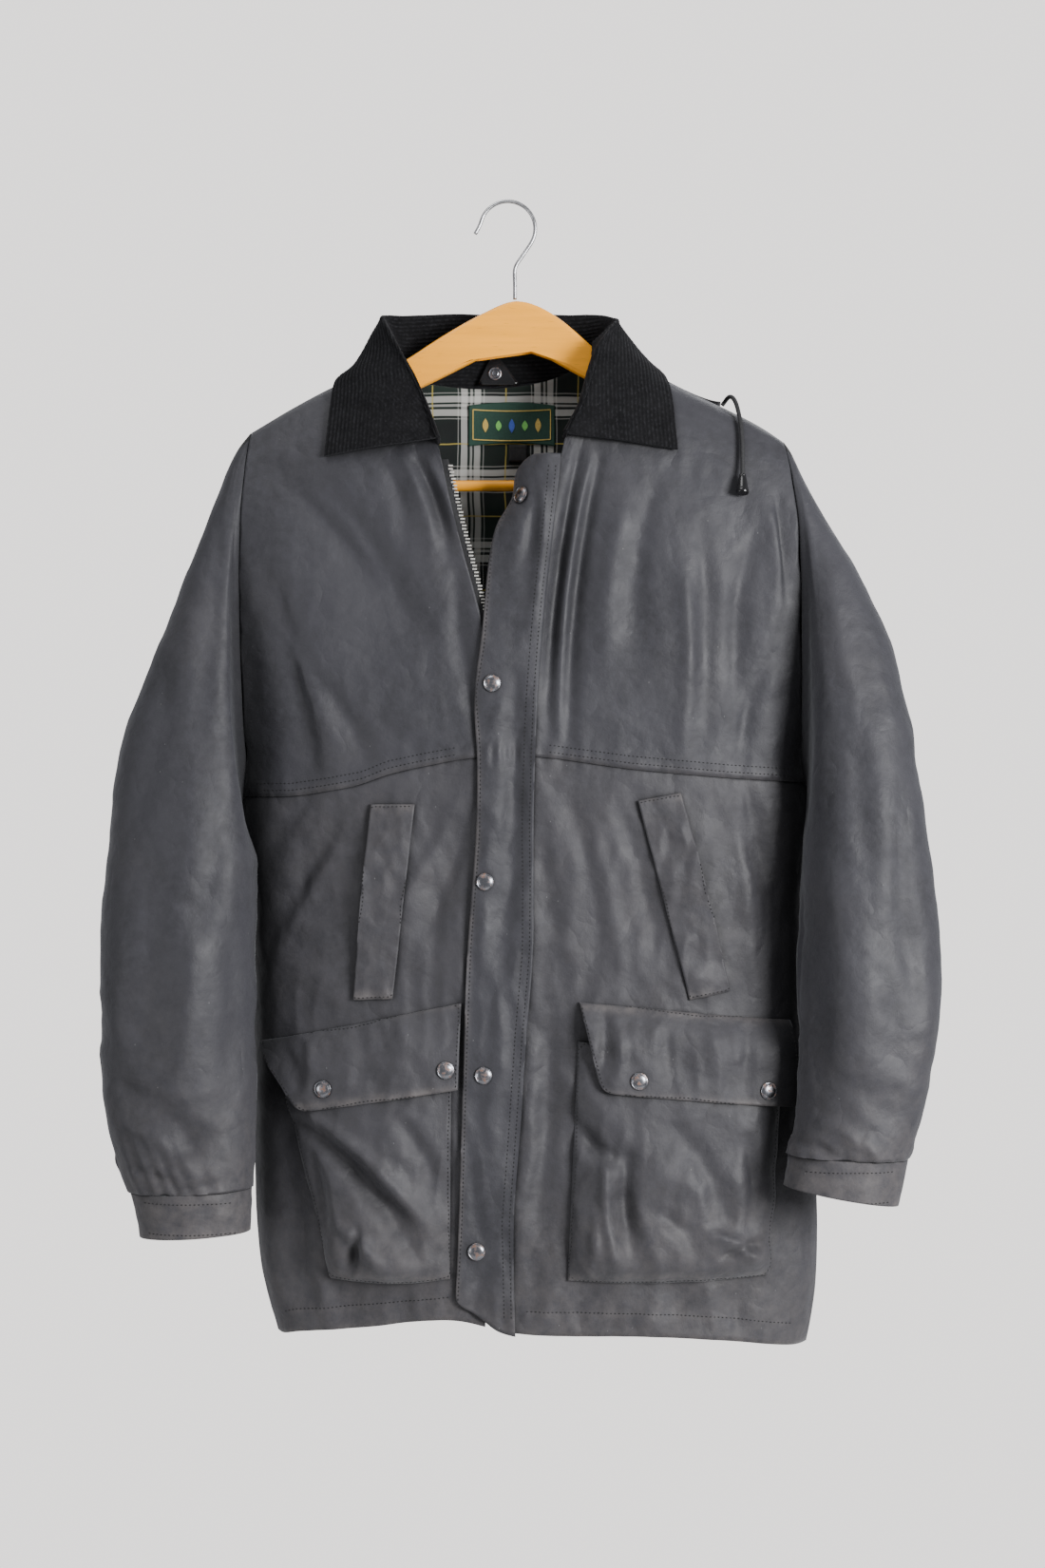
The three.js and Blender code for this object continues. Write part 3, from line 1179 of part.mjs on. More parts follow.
// Snaps on the storm flap, by their share of its height, and on the pocket flaps.
const STORM_SNAPS = [
  { share: 0.0475, across: 0.78, lift: 1.8 },
  { share: 0.262, across: 0.72, lift: 0.45 },
  { share: 0.487, across: 0.8, lift: 0.45 },
  { share: 0.706, across: 0.66, lift: 0.45 },
  { share: 0.905, across: 0.66, lift: 0.45 },
];
STORM_SNAPS.forEach(({ share, across, lift }, i) => {
  addSnap(`snap_front_${i + 1}`, stormFlapSample(across, share), lift);
});
const FLAP_SNAPS = [
  { name: "left_outer", pocket: "left", x: -154.7, z: -776 },
  { name: "left_inner", pocket: "left", x: -52.5, z: -759 },
  { name: "right_inner", pocket: "right", x: 111.7, z: -768 },
  { name: "right_outer", pocket: "right", x: 220, z: -778.5 },
];
for (const { name, pocket, x, z } of FLAP_SNAPS) {
  const place = (u, v) => pocketFlapPoint(POCKETS[pocket], u, v);
  const [u, v] = pocketFlapShares(POCKETS[pocket], x, z);
  addSnap(`snap_pocket_${name}`, surfaceSample(place, u, v, -1), 0.6);
}

export default jacket;
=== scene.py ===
# A waxed cotton jacket on a beech hanger, dressed round its fixed frame.
# Tables and sizes are in millimetres, as a pattern cutter writes them, and become metres in mm().
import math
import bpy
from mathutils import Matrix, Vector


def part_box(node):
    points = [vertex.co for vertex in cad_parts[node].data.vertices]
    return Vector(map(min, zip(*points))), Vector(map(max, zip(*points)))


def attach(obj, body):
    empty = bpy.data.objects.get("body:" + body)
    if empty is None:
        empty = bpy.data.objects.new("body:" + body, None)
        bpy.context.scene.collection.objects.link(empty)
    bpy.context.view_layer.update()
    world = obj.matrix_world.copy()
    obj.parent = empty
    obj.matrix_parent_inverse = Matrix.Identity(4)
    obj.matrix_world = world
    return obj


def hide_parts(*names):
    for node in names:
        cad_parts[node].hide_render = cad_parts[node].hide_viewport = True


bl_info = {
    "name": "Waxed jacket on a hanger",
    "version": (1, 0, 0),
    "blender": (4, 5, 0),
    "location": "View3D > Sidebar > Jacket",
    "description": "Cloth, needlecord, stitching and fittings of a hanging jacket",
    "category": "Object",
}

import bmesh
import bpy
import numpy as np
from mathutils import Matrix, Vector
from mathutils.bvhtree import BVHTree

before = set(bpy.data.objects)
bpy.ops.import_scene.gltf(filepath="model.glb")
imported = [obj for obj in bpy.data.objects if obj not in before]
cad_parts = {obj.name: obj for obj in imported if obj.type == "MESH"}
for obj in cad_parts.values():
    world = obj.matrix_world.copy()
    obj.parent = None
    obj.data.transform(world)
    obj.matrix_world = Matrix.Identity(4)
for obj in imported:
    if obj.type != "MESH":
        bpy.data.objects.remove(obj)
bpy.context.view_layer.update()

MM = 0.001
SIDES = ("left", "right")

# Where the photograph's camera stood, in the hanger's frame, and how wide it saw.
CAMERA = {"x": 13.1, "y": -2400.0, "z": -513.5, "frame_height": 1386.0}


def mm(*values):
    return Vector([v * MM for v in values])


# Creases. Each runs in the front view from x1, z1 to x2, z2. bow carries its middle sideways,
# wide is half its width, and rise is how far it stands out, or sinks when it is negative.
def creases(*rows):
    columns = ("x1", "z1", "x2", "z2", "bow", "wide", "rise")
    return [dict(zip(columns, row)) for row in rows]


FRONT_CREASES = creases(
    (-205, -240, -92, -372, 10, 13, -3.2),
    (-188, -250, -100, -350, 8, 9, 2.2),
    (-150, -262, -70, -400, 6, 10, -2.0),
    (-78, -232, -50, -318, 4, 6, -4.2),
    (-92, -228, -66, -300, 3, 6, 2.2),
    (-66, -236, -44, -300, 3, 5, 1.8),
    (-104, -236, -88, -300, 3, 7, -2.4),
    (-44, -330, -22, -470, -5, 9, -3.0),
    (-210, -330, -172, -505, 7, 12, -4.0),
    (-196, -380, -152, -508, 7, 9, 3.0),
    (-166, -420, -120, -500, 5, 8, -2.2),
    (62, -226, 36, -470, -7, 6, -5.0),
    (80, -232, 52, -495, -8, 7, -4.2),
    (71, -236, 45, -470, -7, 5, 3.0),
    (104, -262, 84, -420, -7, 11, 2.6),
    (130, -250, 112, -400, -8, 10, -2.6),
    (168, -292, 166, -485, 6, 10, -3.4),
    (152, -330, 152, -480, 5, 8, 2.4),
    (236, -262, 244, -344, 5, 7, -4.2),
    (222, -268, 232, -372, 6, 7, 2.8),
    (214, -300, 200, -440, -6, 10, -3.4),
    (232, -400, 204, -500, -6, 9, -3.0),
    (8, -420, -4, -660, 6, 9, -3.2),
    (-18, -560, -16, -700, -3, 7, 1.6),
    (-30, -538, -80, -650, 5, 9, -2.6),
    (-44, -528, -96, -620, 5, 7, 1.8),
    (-142, -540, -200, -650, -6, 11, -3.6),
    (-150, -575, -212, -700, -6, 9, 2.4),
    (-176, -530, -214, -590, -4, 8, -2.6),
    (-60, -600, -66, -690, 3, 8, -1.8),
    (94, -530, 136, -690, 6, 9, -2.6),
    (52, -520, 76, -670, 5, 10, -2.2),
    (70, -540, 98, -690, 5, 8, 1.8),
    (208, -520, 232, -640, 5, 10, -3.6),
    (196, -545, 214, -700, 4, 8, 2.4),
    (240, -560, 238, -700, 4, 9, -2.4),
    (28, -560, 40, -700, 4, 10, -2.4),
    (36, -720, 20, -900, 5, 11, -3.2),
    (22, -730, 8, -930, 5, 8, 2.4),
    (-196, -830, -180, -975, 5, 10, -3.4),
    (-170, -930, -150, -985, 3, 8, 2.2),
    (244, -830, 248, -985, -5, 9, -3.2),
    (40, -905, 30, -985, 4, 9, 2.2),
    (-20, -905, -30, -975, 3, 8, -2.0),
    (130, -950, 120, -990, 3, 10, 1.8),
    (200, -950, 206, -992, -3, 9, -2.2),
    (-90, -945, -96, -982, 3, 9, -1.8),
)
BACK_CREASES = creases(
    (-150, -235, -60, -400, -8, 14, -3.4),
    (-120, -240, -40, -440, -8, 10, 2.4),
    (160, -245, 90, -410, 8, 14, -3.4),
    (200, -300, 150, -460, 8, 11, -3.0),
    (-205, -320, -150, -480, -7, 11, -3.4),
    (0, -420, 12, -700, 8, 16, -2.6),
    (-100, -480, -130, -800, 8, 14, -3.2),
    (-72, -520, -92, -860, 6, 12, 2.8),
    (-30, -560, -20, -930, 8, 16, -3.4),
    (34, -540, 40, -900, 6, 12, 2.6),
    (90, -520, 104, -860, -7, 15, -3.4),
    (132, -560, 150, -930, 6, 12, 2.8),
    (190, -540, 196, -820, 7, 12, -3.0),
    (-180, -560, -176, -860, -6, 12, -3.0),
    (-150, -800, -160, -985, -5, 12, 2.6),
    (60, -840, 66, -985, 5, 12, -2.6),
    (210, -800, 230, -985, -5, 12, 2.4),
    (-60, -860, -70, -985, 5, 11, -2.4),
    (-190, -505, -60, -520, 6, 9, -1.6),
    (90, -500, 220, -520, -6, 9, -1.6),
)
SLEEVE_CREASES = creases(
    (-250, -246, -262, -470, 6, 8, -3.2),
    (-240, -300, -236, -420, 5, 7, 2.4),
    (-262, -330, -300, -470, 8, 12, 2.2),
    (-290, -420, -330, -560, 9, 14, -2.6),
    (-246, -500, -262, -640, 6, 10, -2.8),
    (-300, -590, -322, -780, 8, 14, -3.0),
    (-268, -640, -290, -800, 7, 11, 2.4),
    (-236, -640, -240, -790, 5, 9, -2.4),
    (-340, -700, -300, -800, 6, 12, 2.2),
    (-338, -766, -256, -826, 10, 9, -3.0),
    (-330, -800, -262, -846, 8, 7, 2.4),
    (-300, -846, -236, -812, 7, 7, -2.2),
    (-322, -838, -270, -860, 4, 5, -1.8),
    (-286, -790, -228, -770, 6, 8, 1.8),
    (-300, -866, -240, -852, 3, 4, -1.4),
    (268, -280, 282, -430, -6, 8, -3.0),
    (280, -330, 306, -480, -7, 11, 2.4),
    (262, -400, 268, -560, 5, 9, -2.8),
    (300, -470, 318, -640, -8, 14, -2.6),
    (336, -520, 346, -700, -7, 11, -2.8),
    (276, -580, 280, -760, 6, 11, 2.4),
    (310, -640, 322, -800, 8, 13, -2.6),
    (350, -660, 350, -760, 5, 9, 2.0),
    (256, -640, 262, -790, 6, 9, -2.4),
    (270, -760, 326, -800, 8, 9, -2.6),
    (262, -796, 318, -838, 6, 7, 2.2),
    (300, -744, 352, -786, 6, 9, 2.0),
    (250, -816, 300, -846, 4, 6, -2.2),
)
POCKET_CREASES = creases(
    (-184, -806, -72, -930, 12, 9, -4.2),
    (-168, -800, -66, -905, 10, 7, 2.6),
    (-150, -890, -106, -934, 5, 7, 3.0),
    (-128, -896, -140, -936, 3, 5, -3.6),
    (-96, -800, -60, -870, 6, 9, -2.4),
    (-172, -830, -160, -920, 4, 7, -2.6),
    (-110, -868, -64, -915, 6, 7, -2.0),
    (62, -806, 106, -836, -8, 8, -3.8),
    (104, -830, 114, -930, -7, 8, -3.6),
    (86, -824, 92, -925, -5, 6, 2.4),
    (150, -812, 190, -900, 8, 11, -2.4),
    (206, -820, 214, -900, 4, 8, -2.6),
    (176, -900, 216, -930, 6, 6, 3.0),
    (186, -918, 228, -912, 4, 5, -3.0),
    (128, -880, 168, -928, 6, 9, -2.0),
    (74, -880, 70, -930, 3, 6, 2.0),
)
FLAP_CREASES = creases(
    (-196, -742, -182, -784, 3, 7, -2.4),
    (-172, -736, -168, -792, 3, 6, 2.0),
    (-130, -728, -120, -782, 4, 9, -1.8),
    (-92, -722, -96, -780, 3, 8, 1.8),
    (84, -712, 78, -768, 3, 6, -3.2),
    (96, -716, 92, -774, 3, 6, 2.4),
    (134, -720, 140, -776, 4, 9, -1.8),
    (176, -722, 172, -782, 3, 9, 1.8),
    (208, -726, 202, -784, 3, 7, -1.8),
)


def crease_rise(rows, x, z):
    """How far the creases move each point outwards, for arrays of places in millimetres."""
    total = np.zeros_like(x)
    steps = np.linspace(0, 1, 9)
    for c in rows:
        run = np.array([c["x2"] - c["x1"], c["z2"] - c["z1"]], float)
        side = np.array([-run[1], run[0]]) / np.linalg.norm(run)
        line = [np.array([c["x1"], c["z1"]]) + run * t + side * c["bow"] * 4 * t * (1 - t) for t in steps]
        reach = 3 * c["wide"]
        low, high = np.min(line, axis=0) - reach, np.max(line, axis=0) + reach
        near = (x > low[0]) & (x < high[0]) & (z > low[1]) & (z < high[1])
        px, pz = x[near], z[near]
        best, along = np.full(px.shape, 1e9), np.zeros(px.shape)
        for i in range(len(steps) - 1):
            a, d = line[i], line[i + 1] - line[i]
            t = np.clip(((px - a[0]) * d[0] + (pz - a[1]) * d[1]) / (d @ d), 0, 1)
            gap = (px - a[0] - t * d[0]) ** 2 + (pz - a[1] - t * d[1]) ** 2
            closer = gap < best
            best = np.where(closer, gap, best)
            along = np.where(closer, (i + t) / (len(steps) - 1), along)
        fade = np.clip(np.sin(np.pi * np.clip(0.06 + 0.88 * along, 0, 1)), 0, 1) ** 0.7
        width = c["wide"] * (0.75 + 0.5 * along)
        total[near] += 1.45 * c["rise"] * fade * np.exp(-best / width**2)
    return total


def crumple(x, z, size, seed):
    """Soft uneven dents about as wide as size, between -1 and 1, without any grid showing."""
    chance = np.random.default_rng(seed)
    total = np.zeros_like(x)
    for _ in range(7):
        turn, phase = chance.uniform(0, math.tau, 2)
        wave = size * chance.uniform(0.7, 1.6)
        bend = 1.7 * np.sin((x * math.sin(turn) - z * math.cos(turn)) / (1.9 * wave) + phase)
        total += np.sin((x * math.cos(turn) + z * math.sin(turn)) * math.tau / wave / 2 + phase + bend)
    return total / 5


# Seams where the cloth puckers between its stitches, as lines of the front view.
YOKE_LINE = [
    (-227.5, -522), (-188.5, -522), (-156, -517.5), (-126, -512), (-104, -503), (-71, -496),
    (-29.5, -488.5), (25, -487.5), (106.5, -498.5), (192, -506), (257.5, -510),
]
HEM_LINE = [
    (-228, -993), (-199, -996), (-184, -991), (-131, -984), (-49, -975),
    (7, -987), (115, -989.5), (181, -994), (258, -1006),
]
FLAP_SEAM = [
    (46, -228), (43, -262), (39, -299), (33, -350), (29, -395), (26, -436), (24, -488),
    (22.5, -555), (23, -598), (22.5, -657), (16, -732), (11.5, -802), (5, -890), (7, -985),
]
FLAP_EDGE = [
    (5, -243), (5, -262), (-4, -278), (-15, -299), (-16.5, -320), (-19, -350), (-22.5, -395),
    (-29.4, -436), (-25.6, -488), (-26.2, -555), (-29.4, -598), (-34, -657), (-37, -732),
    (-39, -802), (-41.5, -890), (-45, -955),
]


def line_z(line, x):
    return np.interp(x, [p[0] for p in line], [p[1] for p in line])


def line_x(line, z):
    rows = sorted(line, key=lambda p: p[1])
    return np.interp(z, [p[1] for p in rows], [p[0] for p in rows])


def puckers(along, away, pitch, reach, rise):
    """Small uneven ridges square to a seam, dying out within reach of it."""
    slow, quick = np.sin(along / (2.3 * pitch)), np.sin(along / (0.83 * pitch))
    uneven = along + 0.32 * pitch * slow + 0.2 * pitch * quick
    strength = 0.55 + 0.45 * np.sin(along / (3.7 * pitch) + 1.3)
    return rise * strength * np.sin(math.tau * uneven / pitch) * np.exp(-((away / reach) ** 2))


SNAP_NODES = sorted(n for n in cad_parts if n.startswith("snap_"))


def node_middle(node):
    low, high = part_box(node)
    return (low + high) / 2


SNAP_PLACES = [node_middle(n) for n in SNAP_NODES]


def calm_at_snaps(x, z, rise):
    """Flattens the cloth's movement where a snap is set in it, so that the two stay together."""
    for place in SNAP_PLACES:
        gap = np.hypot(x - place.x / MM, z - place.z / MM)
        rise = rise * (1 - np.exp(-((gap / 15) ** 2)))
    return rise


def crinkle(x, z, size, seed):
    """Sharper folds than crumple makes: valleys where it is positive and ridges where negative."""
    return np.abs(crumple(x, z, size, seed)) - np.abs(crumple(x + 31, z - 17, 0.7 * size, seed + 100))


def front_rise(x, z):
    """The movement shared by the fronts and by all that is sewn on them."""
    low = 0.45 + 0.55 * np.clip((-420 - z) / 160, 0, 1)
    rise = crease_rise(FRONT_CREASES, x, z) + 1.0 * crumple(x, z, 46, 3)
    rise += low * (2.7 * crinkle(x, z, 74, 5) + 1.4 * crinkle(x, z, 30, 6))
    rise += puckers(x, z - line_z(YOKE_LINE, x), 13, 9, 0.8)
    rise += puckers(x, z - line_z(HEM_LINE, x) - 16, 17, 13, 0.7)
    return calm_at_snaps(x, z, rise)


def back_rise(x, z):
    rise = crease_rise(BACK_CREASES, x, z) + 0.8 * crumple(x, z, 50, 7) + 1.8 * crinkle(x, z, 78, 8)
    return rise + puckers(x, z - line_z(HEM_LINE, x) - 16, 17, 13, 0.7)


def clear_selection():
    if bpy.context.object and bpy.context.object.mode != "OBJECT":
        bpy.ops.object.mode_set(mode="OBJECT")
    bpy.ops.object.select_all(action="DESELECT")


def pick(obj):
    clear_selection()
    obj.hide_set(False)
    obj.select_set(True)
    bpy.context.view_layer.objects.active = obj


def apply_modifiers(obj):
    pick(obj)
    for modifier in list(obj.modifiers):
        bpy.ops.object.modifier_apply(modifier=modifier.name)


def add_mesh(name, points, faces):
    mesh = bpy.data.meshes.new(name)
    mesh.from_pydata([tuple(p) for p in points], [], faces)
    mesh.validate()
    obj = bpy.data.objects.new(name, mesh)
    bpy.context.scene.collection.objects.link(obj)
    return obj


def coordinates(obj):
    co = np.empty(len(obj.data.vertices) * 3, np.float32)
    obj.data.vertices.foreach_get("co", co)
    return co.reshape(-1, 3).astype(float)


def set_coordinates(obj, co):
    obj.data.vertices.foreach_set("co", co.astype(np.float32).ravel())
    obj.data.update()


def cloth_copy(node, name, levels, edge_turn=62):
    """A welded copy of a frame node, rounded by subdivision with its cut edges kept sharp."""
    obj = bpy.data.objects.new(name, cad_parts[node].data.copy())
    obj.data.name = name
    obj.data.materials.clear()
    bpy.context.scene.collection.objects.link(obj)
    pick(obj)
    bpy.ops.object.mode_set(mode="EDIT")
    bpy.ops.mesh.select_all(action="SELECT")
    bpy.ops.mesh.remove_doubles(threshold=0.02 * MM)
    bpy.ops.mesh.tris_convert_to_quads(face_threshold=math.radians(50), shape_threshold=math.radians(60))
    bpy.ops.object.mode_set(mode="OBJECT")
    shape = bmesh.new()
    shape.from_mesh(obj.data)
    crease = shape.edges.layers.float.get("crease_edge") or shape.edges.layers.float.new("crease_edge")
    for edge in shape.edges:
        if len(edge.link_faces) == 2 and edge.calc_face_angle() > math.radians(edge_turn):
            edge[crease] = 1.0
    shape.to_mesh(obj.data)
    shape.free()
    rounding = obj.modifiers.new("rounding", "SUBSURF")
    rounding.levels = levels
    rounding.render_levels = levels
    apply_modifiers(obj)
    return obj


def finish_cloth(obj, materials, inside=None, replaced=(), turn=50):
    """Materials, smooth shading and the piece's place in the frame. inside marks inner faces."""
    for material in materials:
        obj.data.materials.append(material)
    if inside is not None:
        picked = inside(face_centres(obj), face_normals(obj)).astype(np.int32)
        obj.data.polygons.foreach_set("material_index", picked)
    pick(obj)
    bpy.ops.object.shade_smooth_by_angle(angle=math.radians(turn))
    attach(obj, "root")
    if replaced:
        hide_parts(*replaced)
    return obj


def face_centres(obj):
    out = np.empty(len(obj.data.polygons) * 3, np.float32)
    obj.data.polygons.foreach_get("center", out)
    return out.reshape(-1, 3)


def face_normals(obj):
    out = np.empty(len(obj.data.polygons) * 3, np.float32)
    obj.data.polygons.foreach_get("normal", out)
    return out.reshape(-1, 3)


def side_share(x):
    """Where a place lies across the body: -1 and 1 on the side seams."""
    return np.clip((x - 15) / 243, -1, 1)


def girth_direction(co, facing):
    """Outwards from the body: -Y or +Y in the middle and turning to the sides at the edges."""
    x = co[:, 0] / MM
    across = side_share(x)
    turn = np.sign(across) * np.abs(across) ** 4 * math.pi / 2
    return np.stack([np.sin(turn), facing * np.cos(turn), np.zeros_like(turn)], axis=1)


def surface_area(obj):
    mesh = obj.data
    areas = np.empty(len(mesh.polygons), np.float32)
    mesh.polygons.foreach_get("area", areas)
    return float(areas.sum())


def declare_sheet(obj, width, length, held, rests_on):
    """Works out the real area of one layer of a cut of cloth and keeps it nowhere; the sizes in millimetres
    and the other arguments are not used.
    """
    one_layer = surface_area(obj) / 2


# Materials. Object coordinates are metres, so a pattern's size is one over its pitch.
class Shader:
    """A material's node tree with short calls for what the finishes below need."""

    def __init__(self, name):
        self.material = bpy.data.materials.new(name)
        self.material.use_nodes = True
        self.tree = self.material.node_tree
        self.surface = self.tree.nodes["Principled BSDF"]
        self.place = self.node("ShaderNodeTexCoord").outputs["Object"]

    def node(self, kind, **settings):
        made = self.tree.nodes.new(kind)
        for key, value in settings.items():
            setattr(made, key, value)
        return made

    def join(self, source, target):
        self.tree.links.new(source, target)

    def value(self, **sockets):
        for name, value in sockets.items():
            self.surface.inputs[name.replace("_", " ")].default_value = value

    def noise(self, size, detail=3.0, rough=0.55, place=None):
        made = self.node("ShaderNodeTexNoise")
        made.inputs["Scale"].default_value = 1 / (size * MM)
        made.inputs["Detail"].default_value = detail
        made.inputs["Roughness"].default_value = rough
        self.join(place or self.place, made.inputs["Vector"])
        return made.outputs["Fac"]

    def ramp(self, source, *stops, smooth=False):
        made = self.node("ShaderNodeValToRGB")
        bar = made.color_ramp
        bar.interpolation = "EASE" if smooth else "LINEAR"
        while len(bar.elements) < len(stops):
            bar.elements.new(1.0)
        for element, (at, colour) in zip(bar.elements, stops):
            element.position = at
            element.color = colour if len(colour) == 4 else (*colour, 1)
        self.join(source, made.inputs["Fac"])
        return made.outputs["Color"]

    def mix(self, share, low, high, blend="MIX"):
        made = self.node("ShaderNodeMix", data_type="RGBA", blend_type=blend)
        for socket, given in ((made.inputs[0], share), (made.inputs[6], low), (made.inputs[7], high)):
            if isinstance(given, bpy.types.NodeSocket):
                self.join(given, socket)
            else:
                socket.default_value = given if isinstance(given, float) else (*given, 1)
        return made.outputs[2]

    def math(self, operation, first, second=None):
        made = self.node("ShaderNodeMath", operation=operation)
        for socket, given in zip(made.inputs, (first, second)):
            if isinstance(given, bpy.types.NodeSocket):
                self.join(given, socket)
            elif given is not None:
                socket.default_value = given
        return made.outputs[0]

    def axes(self, place=None):
        made = self.node("ShaderNodeSeparateXYZ")
        self.join(place or self.place, made.inputs[0])
        return made.outputs

    def attribute(self, name):
        return self.node("ShaderNodeAttribute", attribute_name=name).outputs["Fac"]

    def stretch(self, scale, place=None, turn=(0, 0, 0)):
        made = self.node("ShaderNodeMapping")
        made.inputs["Scale"].default_value = scale
        made.inputs["Rotation"].default_value = turn
        self.join(place or self.place, made.inputs["Vector"])
        return made.outputs["Vector"]

    def colour(self, source):
        self.join(source, self.surface.inputs["Base Color"])

    def rough(self, source):
        self.join(source, self.surface.inputs["Roughness"])

    def bumps(self, *layers):
        """Height layers from the coarsest to the finest, each a source, a depth in mm and a strength."""
        normal = None
        for source, depth, strength in layers:
            made = self.node("ShaderNodeBump")
            made.inputs["Distance"].default_value = depth * MM
            made.inputs["Strength"].default_value = strength
            self.join(source, made.inputs["Height"])
            if normal is not None:
                self.join(normal, made.inputs["Normal"])
            normal = made.outputs["Normal"]
        self.join(normal, self.surface.inputs["Normal"])


def shade(colour, share):
    return tuple(c * share for c in colour)


def waxed_cotton(name, colour, worn, wear_base=0.0):
    """Charcoal cloth with a dull waxed sheen, rubbed brown where the wear attribute is high, and with painted
    shade that darkens its colour in creases and hollows.
    """
    looks = bpy.context.scene.jacket_cloth
    s = Shader(name)
    blotch = s.ramp(s.noise(95, 4, 0.6), (0.3, shade(colour, 0.8)), (0.7, shade(colour, 1.2)), smooth=True)
    flecks = s.ramp(s.noise(9, 5, 0.7), (0.35, (0, 0, 0)), (0.75, (1, 1, 1)))
    mottled = s.mix(flecks, blotch, shade(colour, 1.34))
    wear = s.math("ADD", s.attribute("wear"), wear_base)
    patchy = s.math("MULTIPLY", wear, s.ramp(s.noise(14, 5, 0.7), (0.32, (0.1, 0.1, 0.1)), (0.66, (1, 1, 1))))
    rubbed = s.mix(patchy, mottled, worn)
    lint_cell = s.node("ShaderNodeTexVoronoi", feature="F1")
    lint_cell.inputs["Scale"].default_value = 1 / (13 * MM)
    s.join(s.stretch((1, 1, 0.55)), lint_cell.inputs["Vector"])
    lint = s.ramp(lint_cell.outputs["Distance"], (0.018, (1, 1, 1)), (0.034, (0, 0, 0)))
    # Painted shade: an ambient occlusion node darkens the cloth's colour almost to black in creases, hollows,
    # under flaps and between sleeve and body, where shade falls.
    shade_occlusion = s.node("ShaderNodeAmbientOcclusion", samples=8)
    shade_occlusion.inputs["Distance"].default_value = 40 * MM
    unshaded_share = s.ramp(shade_occlusion.outputs["AO"], (0.35, (0.12, 0.12, 0.12)), (0.95, (1, 1, 1)))
    face = s.mix(s.math("MULTIPLY", lint, looks.lint), rubbed, (0.3, 0.3, 0.3))
    s.colour(s.mix(unshaded_share, (0.003, 0.003, 0.0036), face))
    s.rough(s.ramp(s.noise(30, 4, 0.6), (0.3, (looks.rough - 0.07,) * 3), (0.7, (looks.rough + 0.08,) * 3)))
    s.value(Specular_IOR_Level=0.34, Sheen_Weight=looks.sheen, Sheen_Roughness=0.45)
    s.surface.inputs["Sheen Tint"].default_value = (0.75, 0.77, 0.82, 1)
    sharp = s.math("ABSOLUTE", s.math("SUBTRACT", s.noise(44, 2.5, 0.55), 0.5))
    fine = s.math("ABSOLUTE", s.math("SUBTRACT", s.noise(15, 3, 0.6), 0.5))
    grain, weave = s.noise(5, 4, 0.65), s.noise(0.8, 2, 0.6)
    s.bumps((sharp, 7.0, 0.55), (fine, 2.4, 0.28), (grain, 0.5, 0.5), (weave, 0.14, 0.6))
    return s.material


def dark_lining(name):
    s = Shader(name)
    s.colour(s.ramp(s.noise(20, 4), (0.3, (0.006, 0.006, 0.007)), (0.7, (0.012, 0.012, 0.014))))
    s.value(Roughness=0.75)
    s.bumps((s.noise(16, 3), 1.0, 0.4), (s.noise(0.8, 2), 0.08, 0.5))
    return s.material


# The plaid's stripes in one direction: where each starts and ends in its repeat, and how pale.
PLAID_REPEAT = 65.0
# Repeats added so that a place low on the jacket is still counted from above zero.
PLAID_LEAD = 20
PLAID_STRIPES = [
    {"start": 19.2, "end": 20.2, "pale": 0.55},
    {"start": 22.2, "end": 28.2, "pale": 1.0},
    {"start": 30.4, "end": 32.6, "pale": 0.8},
    {"start": 34.2, "end": 39.8, "pale": 1.0},
    {"start": 42.0, "end": 43.0, "pale": 0.55},
    {"start": 61.6, "end": 62.8, "pale": 0.0},
]


def plaid_cotton(name, start_x=0.0, start_z=0.0):
    """Black and dark green checks with groups of grey-white stripes and a thin yellow overcheck."""
    s = Shader(name)
    wobble = s.noise(60, 2)
    axes = s.axes()
    masks, yellows = [], []
    for axis, start in ((axes[0], start_x), (axes[2], start_z)):
        sway = s.math("MULTIPLY", s.math("SUBTRACT", wobble, 0.5), 5.0 * MM)
        moved = s.math("ADD", s.math("ADD", axis, sway), (PLAID_LEAD * PLAID_REPEAT - start) * MM)
        place = s.math("DIVIDE", s.math("MODULO", moved, PLAID_REPEAT * MM), PLAID_REPEAT * MM)
        mask, yellow = None, None
        for stripe in PLAID_STRIPES:
            inside = s.math(
                "MULTIPLY",
                s.math("GREATER_THAN", place, stripe["start"] / PLAID_REPEAT),
                s.math("LESS_THAN", place, stripe["end"] / PLAID_REPEAT),
            )
            if stripe["pale"] == 0.0:
                yellow = inside
                continue
            inside = s.math("MULTIPLY", inside, stripe["pale"])
            mask = inside if mask is None else s.math("ADD", mask, inside)
        masks.append(mask)
        yellows.append(yellow)
    patches = s.ramp(s.noise(70, 2), (0.42, (0, 0, 0)), (0.58, (1, 1, 1)))
    ground = s.mix(patches, (0.006, 0.008, 0.008), (0.008, 0.016, 0.012))
    # Twill threads: a pale warp or weft shows on half of the crossings of a stripe.
    twill = s.node("ShaderNodeTexWave", wave_type="BANDS", bands_direction="DIAGONAL")
    twill.inputs["Scale"].default_value = 1 / (3.4 * MM)
    s.join(s.stretch((1, 0.0, 1)), twill.inputs["Vector"])
    thread = s.ramp(twill.outputs["Fac"], (0.3, (0.52, 0.52, 0.52)), (0.7, (0.78, 0.78, 0.78)))
    one = s.math("MULTIPLY", masks[0], thread)
    other = s.math("MULTIPLY", masks[1], thread)
    both = s.math("MINIMUM", s.math("ADD", one, other), 1.0)
    pale = s.mix(both, ground, (0.42, 0.42, 0.4))
    gold = s.math("MAXIMUM", *yellows)
    s.colour(s.mix(s.math("MULTIPLY", gold, 0.75), pale, (0.34, 0.27, 0.06)))
    s.value(Roughness=0.9, Sheen_Weight=0.15, Specular_IOR_Level=0.25)
    s.bumps((s.noise(18, 3), 1.0, 0.35), (s.noise(0.7, 2), 0.1, 0.6))
    return s.material


